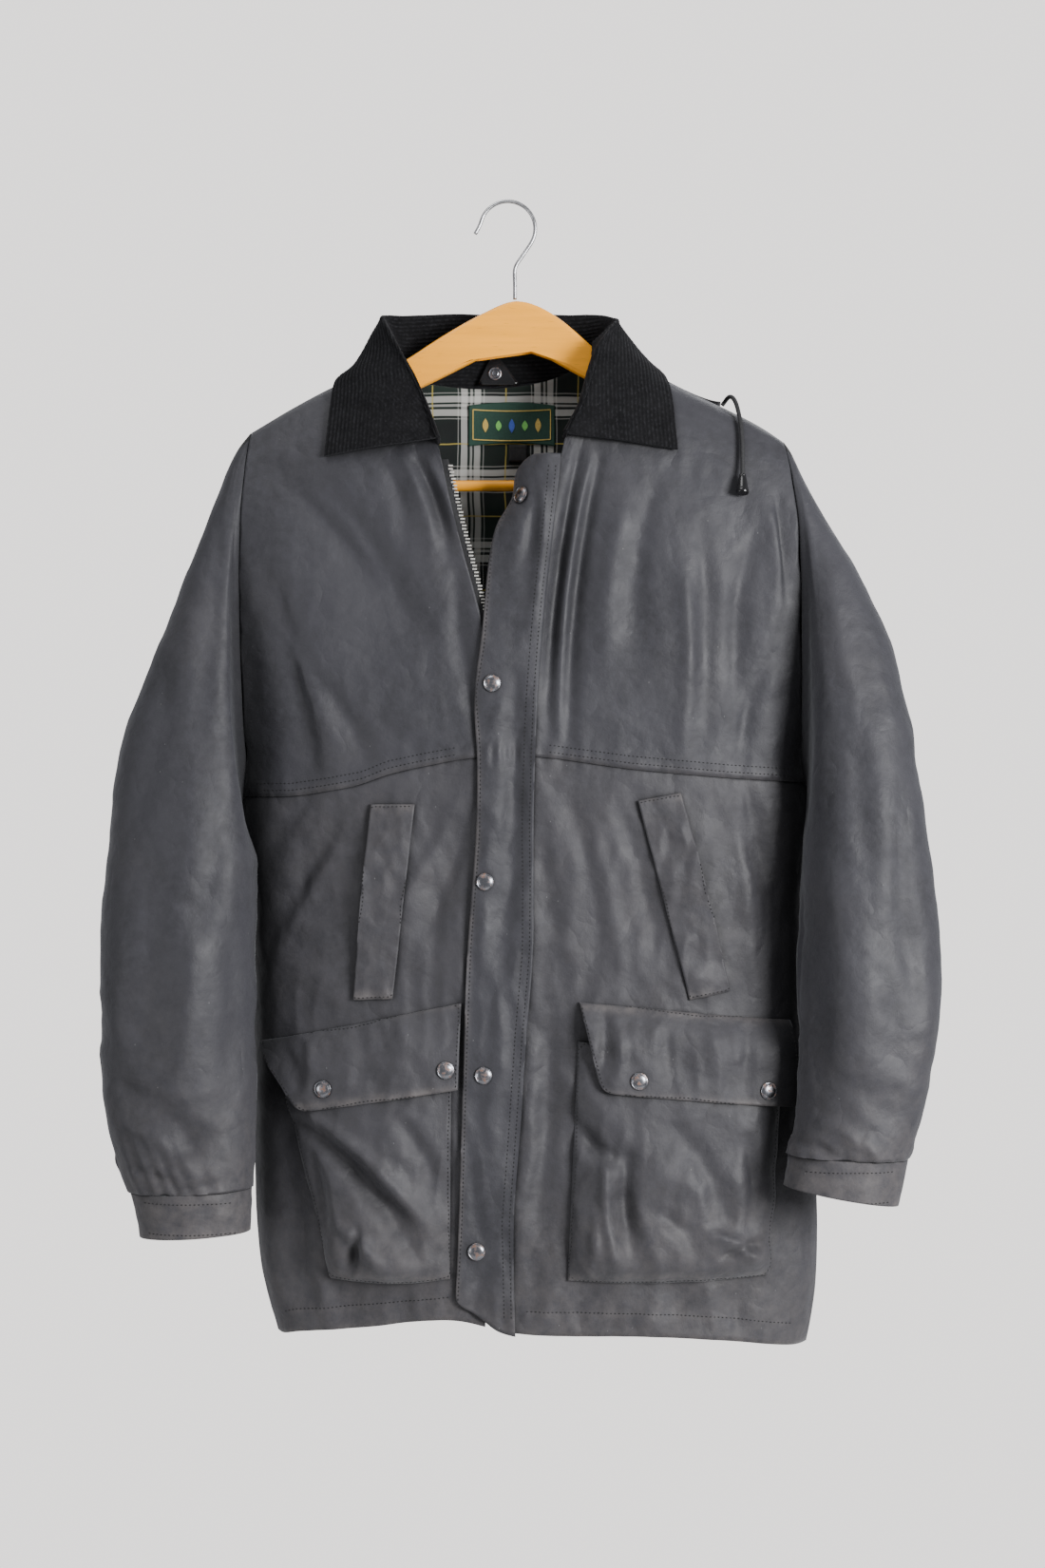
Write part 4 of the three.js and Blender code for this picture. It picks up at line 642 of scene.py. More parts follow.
def needlecord(name):
    """Black ribbed pile: the ribs are in the mesh, and this gives the nap and the rib crowns, paler in
    patches, partly from wear and partly as a painted highlight.
    """
    s = Shader(name)
    base = s.ramp(s.noise(22, 4, 0.65), (0.3, (0.003, 0.003, 0.0036)), (0.72, (0.007, 0.007, 0.0078)))
    # Paler rib crowns: the crown attribute times a patchy mask lightens the pile on the rib tops, partly real
    # wear of the pile and partly a painted highlight.
    rubbed = s.ramp(s.noise(3.2, 4, 0.75), (0.45, (0, 0, 0)), (0.8, (1, 1, 1)))
    crown = s.math("MULTIPLY", s.attribute("crown"), rubbed)
    lint_cell = s.node("ShaderNodeTexVoronoi", feature="F1")
    lint_cell.inputs["Scale"].default_value = 1 / (9 * MM)
    s.join(s.place, lint_cell.inputs["Vector"])
    lint = s.ramp(lint_cell.outputs["Distance"], (0.02, (0.5, 0.5, 0.5)), (0.04, (0, 0, 0)))
    pile = s.mix(s.math("MULTIPLY", crown, 0.8), base, (0.03, 0.03, 0.034))
    s.colour(s.mix(lint, pile, (0.1, 0.1, 0.1)))
    s.value(Roughness=0.95, Specular_IOR_Level=0.14, Sheen_Weight=0.16, Sheen_Roughness=0.35)
    s.surface.inputs["Sheen Tint"].default_value = (0.5, 0.5, 0.55, 1)
    s.bumps((s.noise(7, 3), 0.4, 0.3), (s.noise(0.55, 2, 0.7), 0.16, 0.8))
    return s.material


def beech_wood(name):
    """Varnished beech with fine long grain and short dark flecks along the arms."""
    looks = bpy.context.scene.jacket_fittings
    colour = tuple(looks.wood)
    s = Shader(name)
    along = s.stretch((0.055, 1, 1), turn=(0, 0, 0))
    grain = s.ramp(s.noise(5.2, 6, 0.62, along), (0.34, shade(colour, 0.84)), (0.66, shade(colour, 1.0)))
    bands = s.ramp(s.noise(46, 3, 0.5, s.stretch((0.3, 1, 1))), (0.3, (0, 0, 0)), (0.75, (1, 1, 1)))
    broad = s.mix(bands, grain, shade(colour, 0.92))
    fleck_cell = s.node("ShaderNodeTexVoronoi", feature="F1")
    fleck_cell.inputs["Scale"].default_value = 1 / (2.6 * MM)
    s.join(s.stretch((0.12, 1, 1)), fleck_cell.inputs["Vector"])
    fleck = s.ramp(fleck_cell.outputs["Distance"], (0.06, (0.5, 0.5, 0.5)), (0.16, (0, 0, 0)))
    s.colour(s.mix(fleck, broad, shade(colour, 0.5)))
    s.rough(s.ramp(s.noise(12, 4), (0.3, (0.3, 0.3, 0.3)), (0.7, (0.45, 0.45, 0.45))))
    s.value(Coat_Weight=0.12, Coat_Roughness=0.22, Specular_IOR_Level=0.25)
    s.bumps((s.noise(3, 4, 0.6, along), 0.12, 0.35))
    return s.material


def drawn_steel(name):
    s = Shader(name)
    s.colour(s.ramp(s.noise(8, 5, 0.7), (0.3, (0.36, 0.36, 0.37)), (0.75, (0.62, 0.62, 0.64))))
    s.rough(s.ramp(s.noise(4, 4, 0.7), (0.3, (0.25, 0.25, 0.25)), (0.7, (0.42, 0.42, 0.42))))
    s.value(Metallic=1.0)
    s.bumps((s.noise(1.4, 3, 0.6, s.stretch((1, 1, 0.2))), 0.06, 0.4))
    return s.material


def snap_nickel(name):
    """Worn gunmetal with brownish rust creeping over the cap from its rim."""
    s = Shader(name)
    rust = s.ramp(s.noise(4.2, 6, 0.72), (0.5, (0, 0, 0)), (0.66, (1, 1, 1)))
    s.colour(s.mix(rust, (0.2, 0.205, 0.225), (0.2, 0.095, 0.055)))
    s.rough(s.mix(rust, (0.27, 0.27, 0.27), (0.62, 0.62, 0.62)))
    s.join(s.math("SUBTRACT", 1.0, s.math("MULTIPLY", rust, 0.75)), s.surface.inputs["Metallic"])
    s.bumps((s.noise(1.6, 4, 0.7), 0.08, 0.5))
    return s.material


def plain_finish(name, low, high, rough, size=6.0, depth=0.1, **extra):
    """A finish of one colour that still varies a little, with a fine grain."""
    s = Shader(name)
    s.colour(s.ramp(s.noise(size, 4, 0.6), (0.3, low), (0.7, high)))
    s.rough(s.ramp(s.noise(size * 0.7, 3), (0.3, (rough - 0.05,) * 3), (0.7, (rough + 0.06,) * 3)))
    s.value(**extra)
    s.bumps((s.noise(size * 0.2, 3, 0.65), depth, 0.5))
    return s.material


FINISHES = {}


def finish(name):
    """Each finish is made once, when the first piece asks for it."""
    if name in FINISHES:
        return FINISHES[name]
    cloth = bpy.context.scene.jacket_cloth
    makers = {
        "waxed": lambda: waxed_cotton("waxed_cotton", tuple(cloth.colour), tuple(cloth.worn)),
        # The lower pieces take a paler cloth colour and a little wear all over.
        "paler_lower_cloth": lambda: waxed_cotton("waxed_cotton_worn", tuple(cloth.paler_lower_cloth), tuple(cloth.worn), 0.1),
        "lining_dark": lambda: dark_lining("dark_lining"),
        "plaid": lambda: plaid_cotton("plaid_lining", 0.7, -208.0),
        "plaid_front": lambda: plaid_cotton("plaid_front_lining", 9.0, -150.0),
        "needlecord": lambda: needlecord("needlecord"),
        "beech": lambda: beech_wood("beech"),
        "steel": lambda: drawn_steel("drawn_steel"),
        "nickel": lambda: snap_nickel("snap_nickel"),
        "thread": lambda: plain_finish(
            "sewing_thread", (0.002, 0.002, 0.0025), (0.005, 0.005, 0.006), 0.8, 2.0
        ),
        "tape": lambda: plain_finish("zip_tape", (0.008, 0.008, 0.009), (0.016, 0.016, 0.018), 0.85, 3.0),
        "teeth": lambda: plain_finish("zip_teeth", (0.3, 0.29, 0.27), (0.5, 0.49, 0.46), 0.4, 3.0, 0.05),
        "label": lambda: plain_finish(
            "label_weave", (0.004, 0.03, 0.02), (0.008, 0.048, 0.03), 0.75, 1.2, 0.12
        ),
        "gold": lambda: plain_finish("gold_thread", (0.4, 0.27, 0.05), (0.58, 0.42, 0.1), 0.6, 1.2, 0.1),
        "green": lambda: plain_finish("green_thread", (0.12, 0.42, 0.08), (0.2, 0.55, 0.12), 0.65, 1.2, 0.1),
        "blue": lambda: plain_finish("blue_thread", (0.02, 0.06, 0.32), (0.04, 0.1, 0.45), 0.65, 1.2, 0.1),
        "gloss": lambda: plain_finish(
            "glossy_black", (0.004, 0.004, 0.005), (0.009, 0.009, 0.01), 0.2, 9.0, 0.2
        ),
        "braid": lambda: plain_finish(
            "braided_cord", (0.006, 0.006, 0.007), (0.016, 0.016, 0.018), 0.7, 1.6, 0.2
        ),
    }
    FINISHES[name] = makers[name]()
    return FINISHES[name]


def set_wear(obj, wear):
    attribute = obj.data.attributes.new("wear", "FLOAT", "POINT")
    attribute.data.foreach_set("value", np.clip(wear, 0, 1).astype(np.float32))


class JacketClothLooks(bpy.types.PropertyGroup):
    colour: bpy.props.FloatVectorProperty(
        name="Cloth", description="Waxed cotton of the upper body", subtype="COLOR",
        default=(0.0250, 0.0247, 0.0298), min=0, max=1,
    )
    paler_lower_cloth: bpy.props.FloatVectorProperty(
        name="Paler lower cloth", description="Waxed cotton lower down", subtype="COLOR",
        default=(0.0282, 0.0276, 0.0325), min=0, max=1,
    )
    worn: bpy.props.FloatVectorProperty(
        name="Worn cloth", description="Where the wax has rubbed off", subtype="COLOR",
        default=(0.085, 0.077, 0.077), min=0, max=1,
    )
    rough: bpy.props.FloatProperty(
        name="Roughness", description="Of the waxed face", default=0.6, min=0.1, max=1
    )
    sheen: bpy.props.FloatProperty(
        name="Sheen", description="Soft shine of the nap", default=0.16, min=0, max=1
    )
    lint: bpy.props.FloatProperty(
        name="Lint", description="How plainly specks of lint show", default=0.3, min=0, max=1
    )


class JacketSewing(bpy.types.PropertyGroup):
    stitch_pitch: bpy.props.FloatProperty(
        name="Stitch pitch", description="From one stitch to the next", subtype="DISTANCE",
        default=3.6 * MM, min=0.001,
    )
    stitch_length: bpy.props.FloatProperty(
        name="Stitch length", description="The part of a stitch that shows", subtype="DISTANCE",
        default=2.7 * MM, min=0.0005,
    )
    thread: bpy.props.FloatProperty(
        name="Thread", description="Thickness of the thread", subtype="DISTANCE", default=1.0 * MM, min=0.0001
    )
    rib_pitch: bpy.props.FloatProperty(
        name="Cord rib", description="Width of one rib of the collar", subtype="DISTANCE",
        default=3.55 * MM, min=0.001,
    )
    rib_rise: bpy.props.FloatProperty(
        name="Rib rise", description="How high a rib stands", subtype="DISTANCE", default=0.9 * MM, min=0
    )


class JacketFittings(bpy.types.PropertyGroup):
    wood: bpy.props.FloatVectorProperty(
        name="Wood", description="Varnished beech", subtype="COLOR", default=(1.0, 0.41, 0.02), min=0, max=1
    )
    zip_pitch: bpy.props.FloatProperty(
        name="Zip pitch", description="From one tooth to the next", subtype="DISTANCE", default=2.9 * MM,
        min=0.001,
    )


class JacketStage(bpy.types.PropertyGroup):
    floor_depth: bpy.props.FloatProperty(
        name="Floor", description="How far the floor lies below the hook", subtype="DISTANCE", default=1.78,
        min=1.1,
    )
    pale: bpy.props.FloatProperty(
        name="Backdrop", description="Brightness behind the jacket", default=1.8, min=0, max=3
    )
    surround: bpy.props.FloatProperty(
        name="Surround", description="Light from all round", default=0.4, min=0, max=3
    )


def make_stage():
    """A plain pale floor, soft light from above and in front, and the photograph's camera."""
    sizes = bpy.context.scene.jacket_stage
    clear_selection()
    bpy.ops.mesh.primitive_circle_add(
        vertices=96, radius=1.5, fill_type="NGON", location=(0, 0, -sizes.floor_depth)
    )
    floor = bpy.context.object
    floor.name = "floor"
    s = Shader("pale_floor")
    s.colour(s.ramp(s.noise(300, 3), (0.3, (0.66, 0.66, 0.655)), (0.7, (0.72, 0.72, 0.715))))
    s.value(Roughness=0.9)
    floor.data.materials.append(s.material)

    world = bpy.data.worlds.new("pale_room")
    bpy.context.scene.world = world
    world.use_nodes = True
    nodes, links = world.node_tree.nodes, world.node_tree.links
    nodes["Background"].inputs["Color"].default_value = (0.97, 0.975, 1.0, 1)
    nodes["Background"].inputs["Strength"].default_value = sizes.surround
    seen = nodes.new("ShaderNodeBackground")
    seen.inputs["Color"].default_value = (1.0, 0.97, 0.955, 1)
    seen.inputs["Strength"].default_value = sizes.pale
    either = nodes.new("ShaderNodeMixShader")
    links.new(nodes.new("ShaderNodeLightPath").outputs["Is Camera Ray"], either.inputs[0])
    links.new(nodes["Background"].outputs[0], either.inputs[1])
    links.new(seen.outputs[0], either.inputs[2])
    links.new(either.outputs[0], nodes["World Output"].inputs["Surface"])

    lights = (
        {"name": "window", "at": (2.0, -2.0, -0.15), "aim": (0, 0, -0.6), "size": 1.1, "power": 150},
        {"name": "sky", "at": (-0.6, -0.9, 1.7), "aim": (0, 0, -0.6), "size": 1.3, "power": 27},
        {"name": "side", "at": (-2.2, -1.5, -0.9), "aim": (-0.1, 0, -0.6), "size": 1.0, "power": 16},
        {"name": "behind", "at": (0.3, 2.0, 0.9), "aim": (0, 0, -0.5), "size": 1.8, "power": 26},
    )
    for light in lights:
        clear_selection()
        bpy.ops.object.light_add(type="AREA", location=light["at"])
        lamp = bpy.context.object
        lamp.name = "light_" + light["name"]
        lamp.data.size = light["size"]
        lamp.data.energy = light["power"]
        lamp.rotation_euler = (Vector(light["aim"]) - Vector(light["at"])).to_track_quat("-Z", "Y").to_euler()

    clear_selection()
    bpy.ops.object.camera_add(
        location=mm(CAMERA["x"], CAMERA["y"], CAMERA["z"]), rotation=(math.pi / 2, 0, 0)
    )
    camera = bpy.context.object
    camera.name = "camera"
    camera.data.sensor_width = 36
    camera.data.lens = 36 * -CAMERA["y"] / CAMERA["frame_height"]
    camera.data.clip_start = 0.05
    bpy.context.scene.camera = camera


# The drawcord's way out of the hood, over the shoulder and down the chest.
CORD = {"radius": 1.9, "bell_radius": 5.4, "bell_top": 4.0, "bell_length": 17.0}
CORD_ROUTE = [
    (191.4, 24.2, -175.5), (193.6, 22.5, -172.6), (196.5, 15, -169.5), (199, 6, -171), (201.2, -4.5, -177),
    (203, -15, -187.5), (204.3, -24, -200), (204.8, -32, -215), (204.6, -38, -230), (204.2, -43, -244.7),
]


def smooth_path(points, count):
    """A Catmull-Rom curve through the points, as evenly stepped places."""
    points = [np.array(p, float) for p in points]
    ends = [2 * points[0] - points[1], *points, 2 * points[-1] - points[-2]]
    fine = []
    for a, b, c, d in zip(ends, ends[1:], ends[2:], ends[3:]):
        for t in np.linspace(0, 1, 24, endpoint=False):
            bend, twist = 2 * a - 5 * b + 4 * c - d, 3 * b - a - 3 * c + d
            fine.append(0.5 * (2 * b + (c - a) * t + bend * t**2 + twist * t**3))
    fine = np.array([*fine, points[-1]])
    run = np.concatenate([[0], np.cumsum(np.linalg.norm(np.diff(fine, axis=0), axis=1))])
    places = np.linspace(0, run[-1], count)
    return np.stack([np.interp(places, run, fine[:, k]) for k in range(3)], axis=1), run[-1]


def tube_mesh(name, path, radii, sides, ends=True):
    """A tube round a path with its own radius at each step, closed at both ends."""
    path = np.array(path, float)
    tangents = np.gradient(path, axis=0)
    tangents /= np.linalg.norm(tangents, axis=1)[:, None]
    normal = np.cross(tangents[0], (0, 0, 1) if abs(tangents[0][2]) < 0.9 else (1, 0, 0))
    points, faces = [], []
    for place, tangent, radius in zip(path, tangents, radii):
        normal = normal - tangent * (normal @ tangent)
        normal /= np.linalg.norm(normal)
        other = np.cross(tangent, normal)
        for k in range(sides):
            turn = math.tau * k / sides
            points.append(place + radius * (normal * math.cos(turn) + other * math.sin(turn)))
    for i in range(len(path) - 1):
        for k in range(sides):
            a, b = i * sides + k, i * sides + (k + 1) % sides
            faces.append((a, b, b + sides, a + sides))
    if ends:
        faces.append(tuple(reversed(range(sides))))
        faces.append(tuple(range((len(path) - 1) * sides, len(path) * sides)))
    obj = add_mesh(name, np.array(points) * MM, faces)
    pick(obj)
    bpy.ops.object.mode_set(mode="EDIT")
    bpy.ops.mesh.select_all(action="SELECT")
    bpy.ops.mesh.normals_make_consistent(inside=False)
    bpy.ops.object.mode_set(mode="OBJECT")
    return obj


def make_drawcord():
    """The braided drawcord with the moulded bell on its end."""
    path, length = smooth_path(CORD_ROUTE, 150)
    braid = 1 + 0.05 * np.sin(np.arange(150) * 2.2)
    cord = tube_mesh("drawcord_braid", path, CORD["radius"] * braid, 14)
    finish_cloth(cord, [finish("braid")], replaced=["drawcord"], turn=180)

    along = path[-1] - path[-2]
    along /= np.linalg.norm(along)
    profile = (
        (-1.5, 1.2), (-1.0, 2.6), (0.2, 3.0), (0.8, 2.7), (1.8, 3.2), (4, 3.7), (9, 4.3), (13.6, 5.1),
        (14.4, 5.6), (16.0, 5.6), (17.0, 5.1), (17.1, 4.0), (14.5, 3.4), (13.0, 0.4),
    )
    base = path[-1] + along * 0.6
    bell = tube_mesh(
        "cord_bell", [base + along * (p[0] + 0.4) for p in profile], [p[1] for p in profile], 28, False
    )
    pick(bell)
    bpy.ops.object.mode_set(mode="EDIT")
    bpy.ops.mesh.select_all(action="DESELECT")
    bpy.ops.mesh.select_non_manifold()
    bpy.ops.mesh.fill_holes(sides=0)
    bpy.ops.mesh.select_all(action="SELECT")
    bpy.ops.mesh.normals_make_consistent(inside=False)
    bpy.ops.object.mode_set(mode="OBJECT")
    finish_cloth(bell, [finish("gloss")], replaced=["drawcord_end"], turn=35)


def edge_wear(z, levels):
    """How rubbed each point is: strongest at the given levels, fading over their reach."""
    wear = np.zeros_like(z)
    for level, reach, amount in levels:
        wear = np.maximum(wear, amount * np.exp(-(((z - level) / reach) ** 2)))
    return wear


# How far the side seams spread below the armholes, and how much more where the sleeve hangs off them.
SIDE_EASE = 2.6
ARMPIT_EASE = {"body": 6.5, "body_z": -550, "sleeve": 3.5, "sleeve_z": -560}


def move_cloth(obj, rise, facing):
    """Moves a front or back piece by a shared movement, in millimetres, away from the body."""
    co = coordinates(obj)
    x, z = co[:, 0] / MM, co[:, 2] / MM
    side = np.clip((np.abs(side_share(x)) - 0.8) / 0.2, 0, 1) * np.clip((-488 - z) / 24, 0, 1)
    ease = SIDE_EASE + ARMPIT_EASE["body"] * np.exp(-(((z - ARMPIT_EASE["body_z"]) / 50) ** 2))
    out = rise(x, z) * (1 - 0.85 * side) + ease * side
    set_coordinates(obj, co + girth_direction(co, facing) * (out * MM)[:, None])


SHOULDER_LINE = [
    (-226, -203), (-193.5, -183.4), (-155, -162.8), (-94, -136), (5, -96), (76, -124), (148, -161.3),
    (203, -187), (243, -211),
]


def shoulder_fade(x, z):
    """Keeps the cloth still where it lies on the hanger and at the neck."""
    below = np.clip((line_z(SHOULDER_LINE, x) - z - 6) / 55, 0, 1)
    return below * below * (3 - 2 * below)


def inside_of(facing):
    return lambda centre, normal: normal[:, 1] * facing < -0.15


def make_fronts():
    """Both fronts above and below the yoke seam, the upper lapped over the lower."""
    for side in SIDES:
        upper = cloth_copy(f"upper_front_{side}", f"upper_front_{side}_cloth", 3)
        co = coordinates(upper)
        x, z = co[:, 0] / MM, co[:, 2] / MM
        above = z - line_z(YOKE_LINE, x)
        lap = np.exp(-((above / 7) ** 2))
        co[:, 2] -= 2.4 * lap * MM
        co[:, 1] -= 1.0 * np.exp(-((above / 12) ** 2)) * MM
        set_coordinates(upper, co)
        move_cloth(upper, lambda x, z: front_rise(x, z) * shoulder_fade(x, z), -1)
        set_wear(upper, 0.5 * np.exp(-((above / 3.5) ** 2)) + 0.1 * np.clip(crumple(x, z, 60, 21), 0, 1))
        finish_cloth(
            upper, [finish("waxed"), finish("plaid_front")], inside_of(-1),
            [f"upper_front_{side}"],
        )
        declare_sheet(upper, 260, 330, "hung", ["hanger_arms"])

        lower = cloth_copy(f"lower_front_{side}", f"lower_front_{side}_cloth", 3)
        move_cloth(lower, front_rise, -1)
        co = coordinates(lower)
        x, z = co[:, 0] / MM, co[:, 2] / MM
        rub = edge_wear(z - line_z(HEM_LINE, x), ((0, 5, 1.0), (18, 3, 0.5), (0, 90, 0.35)))
        set_wear(lower, rub + 0.15 * np.clip(crumple(x, z, 50, 22), 0, 1))
        finish_cloth(
            lower, [finish("paler_lower_cloth"), finish("plaid_front")], inside_of(-1),
            [f"lower_front_{side}"],
        )
        declare_sheet(lower, 290, 500, "hung", [f"upper_front_{side}_cloth"])


def make_back():
    """The back in one piece, with the plaid lining sewn in at its neck."""
    back = cloth_copy("back", "back_cloth", 2)
    move_cloth(back, lambda x, z: back_rise(x, z) * shoulder_fade(x, z), 1)
    co = coordinates(back)
    x, z = co[:, 0] / MM, co[:, 2] / MM
    set_wear(back, edge_wear(z - line_z(HEM_LINE, x), ((0, 5, 1.0), (18, 3, 0.5), (0, 90, 0.35))))
    finish_cloth(back, [finish("waxed"), finish("lining_dark")], inside_of(1), ["back"])
    declare_sheet(back, 560, 900, "hung", ["hanger_arms"])

    lining = cloth_copy("back_lining", "plaid_back_lining", 3)
    co = coordinates(lining)
    x, z = co[:, 0] / MM, co[:, 2] / MM
    loose = np.clip((-150 - z) / 60, 0, 1)
    co[:, 1] += (0.9 * crumple(x, z, 34, 31) + 0.35 * crumple(x, z, 13, 32)) * loose * MM - 0.5 * loose * MM
    set_coordinates(lining, co)
    finish_cloth(lining, [finish("plaid")], None, ["back_lining"])
    declare_sheet(lining, 500, 840, "hung", ["back_cloth"])


def make_hood():
    """The slack hood that hangs down the back from behind the collar."""
    hood = cloth_copy("hood", "hood_cloth", 3)
    co = coordinates(hood)
    x, z = co[:, 0] / MM, co[:, 2] / MM
    out = np.clip((co[:, 1] / MM - 40) / 20, 0, 1)
    folds = creases(
        (-110, -190, -20, -340, -14, 13, -4.2),
        (-70, -180, 20, -350, -14, 10, 3.2),
        (150, -200, 70, -350, 14, 13, -4.2),
        (110, -190, 30, -360, 12, 10, 3.0),
        (-120, -250, 150, -262, -16, 13, -3.2),
        (-100, -290, 130, -310, -14, 10, 2.6),
        (-60, -340, 90, -352, -10, 10, -2.6),
        (0, -180, 14, -300, 5, 10, -2.6),
    )
    rise = crease_rise(folds, x, z) + 0.9 * crumple(x, z, 40, 41)
    co[:, 1] += rise * out * MM
    set_coordinates(hood, co)
    set_wear(hood, edge_wear(z, ((-380, 25, 0.5),)))
    finish_cloth(hood, [finish("waxed")], None, ["hood"])
    declare_sheet(hood, 480, 420, "gathered", ["back_cloth"])


# The middle of each sleeve at a few heights, for the way its creases stand out.
SLEEVE_MIDDLES = {
    "left": [(-210, -236, -8), (-400, -266, -28), (-600, -283, -47), (-800, -283, -60), (-900, -269, -68)],
    "right": [(-210, 252, -8), (-400, 290, -30), (-600, 306, -54), (-800, 310, -74), (-900, 288, -80)],
}


def sleeve_direction(co, side):
    z = co[:, 2] / MM
    rows = SLEEVE_MIDDLES[side][::-1]
    mx = np.interp(z, [r[0] for r in rows], [r[1] for r in rows])
    my = np.interp(z, [r[0] for r in rows], [r[2] for r in rows])
    out = np.stack([(co[:, 0] / MM - mx) * 0.55, co[:, 1] / MM - my, np.zeros_like(z)], axis=1)
    return out / np.maximum(np.linalg.norm(out, axis=1), 1e-6)[:, None]


def sleeve_rise(co, side, fades):
    x, z = co[:, 0] / MM, co[:, 2] / MM
    rows = SLEEVE_MIDDLES[side][::-1]
    my = np.interp(z, [r[0] for r in rows], [r[2] for r in rows])
    behind = co[:, 1] / MM > my
    front = crease_rise(SLEEVE_CREASES, x, z)
    back = crease_rise(SLEEVE_CREASES, x + 17, z + 34) * 0.9
    rise = np.where(behind, back, front) + 0.8 * crumple(x, z, 42, 51)
    rise += 2.3 * crinkle(x, z, 80, 54) + 0.9 * crinkle(x, z, 30, 55)
    mx = np.interp(z, [r[0] for r in rows], [r[1] for r in rows])
    inner = np.clip((np.abs(mx) - np.abs(x)) / 40, 0, 1)
    rise += ARMPIT_EASE["sleeve"] * inner * np.exp(-(((z - ARMPIT_EASE["sleeve_z"]) / 42) ** 2))
    near_cuff = np.exp(-(((z + 850) / 45) ** 2))
    rise += near_cuff * puckers(x + 0.4 * z, z + 845, 15, 40, 1.1)
    return (rise + 2.0) * fades


def make_sleeves():
    """Front and back of each sleeve and its cuff band."""
    for side in SIDES:
        for half in ("front", "back"):
            node = f"sleeve_{side}_{half}"
            sleeve = cloth_copy(node, f"{node}_cloth", 3)
            co = coordinates(sleeve)
            head = np.abs(co[:, 0] / MM) - (238 if side == "left" else 262)
            fade = np.clip(np.maximum(head / 34, (-545 - co[:, 2] / MM) / 40), 0, 1)
            co += sleeve_direction(co, side) * (sleeve_rise(co, side, fade) * MM)[:, None]
            set_coordinates(sleeve, co)
            x, z = co[:, 0] / MM, co[:, 2] / MM
            end = -862 if side == "left" else -835
            rub = edge_wear(z, ((end, 42, 0.5), (end, 120, 0.25)))
            set_wear(sleeve, rub + 0.12 * np.clip(crumple(x, z, 55, 53), 0, 1))

            def lining_side(centre, normal, side=side):
                return (sleeve_direction(centre.astype(float), side) * normal).sum(axis=1) < -0.1

            finish_cloth(
                sleeve, [finish("waxed"), finish("lining_dark")], lining_side, [node]
            )
            declare_sheet(sleeve, 170, 690, "hung", [f"upper_front_{side}_cloth"])
        cuff = cloth_copy(f"cuff_{side}", f"cuff_{side}_cloth", 3)
        co = coordinates(cuff)
        x, z = co[:, 0] / MM, co[:, 2] / MM
        low, high = z.min(), z.max()
        wave = 1.2 * crumple(x, z, 22, 61) + 0.5 * crumple(x, z, 9, 62)
        co += sleeve_direction(co, side) * (wave * MM)[:, None]
        set_coordinates(cuff, co)
        set_wear(cuff, edge_wear(z, ((low + 4, 9, 1.0), (low + 22, 26, 0.65), (high - 2, 5, 0.55))))

        def cuff_lining(centre, normal, side=side):
            return (sleeve_direction(centre.astype(float), side) * normal).sum(axis=1) < -0.1

        finish_cloth(
            cuff, [finish("paler_lower_cloth"), finish("lining_dark")], cuff_lining,
            [f"cuff_{side}"],
        )
        declare_sheet(cuff, 262, 42, "hung", [f"sleeve_{side}_front_cloth"])


def bag_rise(x, z):
    """The front's movement and the bag's own folds."""
    return front_rise(x, z) + 1.7 * crease_rise(POCKET_CREASES, x, z) + 2.2 * crinkle(x, z, 42, 71)


def make_pockets():
    """Bellows pocket bags, their flaps, and the hand-warmer welts."""
    for side in SIDES:
        bag = cloth_copy(f"pocket_bag_{side}", f"pocket_bag_{side}_cloth", 3, 75)
        move_cloth(bag, bag_rise, -1)
        co = coordinates(bag)
        z = co[:, 2] / MM
        set_wear(bag, edge_wear(z, ((z.min() + 4, 8, 0.9), (z.min() + 30, 45, 0.3))))
        finish_cloth(
            bag, [finish("paler_lower_cloth"), finish("lining_dark")], inside_of(-1),
            [f"pocket_bag_{side}"],
        )
        declare_sheet(
            bag, *((170, 190) if side == "left" else (210, 205)), "hung", [f"lower_front_{side}_cloth"]
        )

        flap = cloth_copy(f"pocket_flap_{side}", f"pocket_flap_{side}_cloth", 3, 75)

        def flap_rise(x, z):
            shared = front_rise(x, z)
            return shared + calm_at_snaps(x, z, crease_rise(FLAP_CREASES, x, z) + 0.8 * crinkle(x, z, 30, 72))

        move_cloth(flap, flap_rise, -1)
        co = coordinates(flap)
        x, z = co[:, 0] / MM, co[:, 2] / MM
        low = np.interp(x, [x.min(), x.max()], [-797, -776] if side == "left" else [-778, -794])
        set_wear(flap, edge_wear(z - low, ((0, 4.5, 1.0), (74, 4, 0.9))))
        finish_cloth(
            flap, [finish("paler_lower_cloth"), finish("lining_dark")], inside_of(-1),
            [f"pocket_flap_{side}"],
        )
        declare_sheet(flap, 190, 82, "hung", [f"lower_front_{side}_cloth"])

        welt = cloth_copy(f"welt_{side}", f"welt_{side}_cloth", 3, 75)
        move_cloth(welt, lambda x, z: front_rise(x, z) + 1.5 * crinkle(x, z, 24, 73), -1)
        co = coordinates(welt)
        z = co[:, 2] / MM
        set_wear(welt, edge_wear(z, ((z.min() + 2, 6, 0.9), (z.max() - 2, 6, 0.7))) + 0.12)
        finish_cloth(
            welt, [finish("paler_lower_cloth"), finish("lining_dark")], inside_of(-1),
            [f"welt_{side}"],
        )
        declare_sheet(welt, 42, 176, "hung", [f"lower_front_{side}_cloth"])


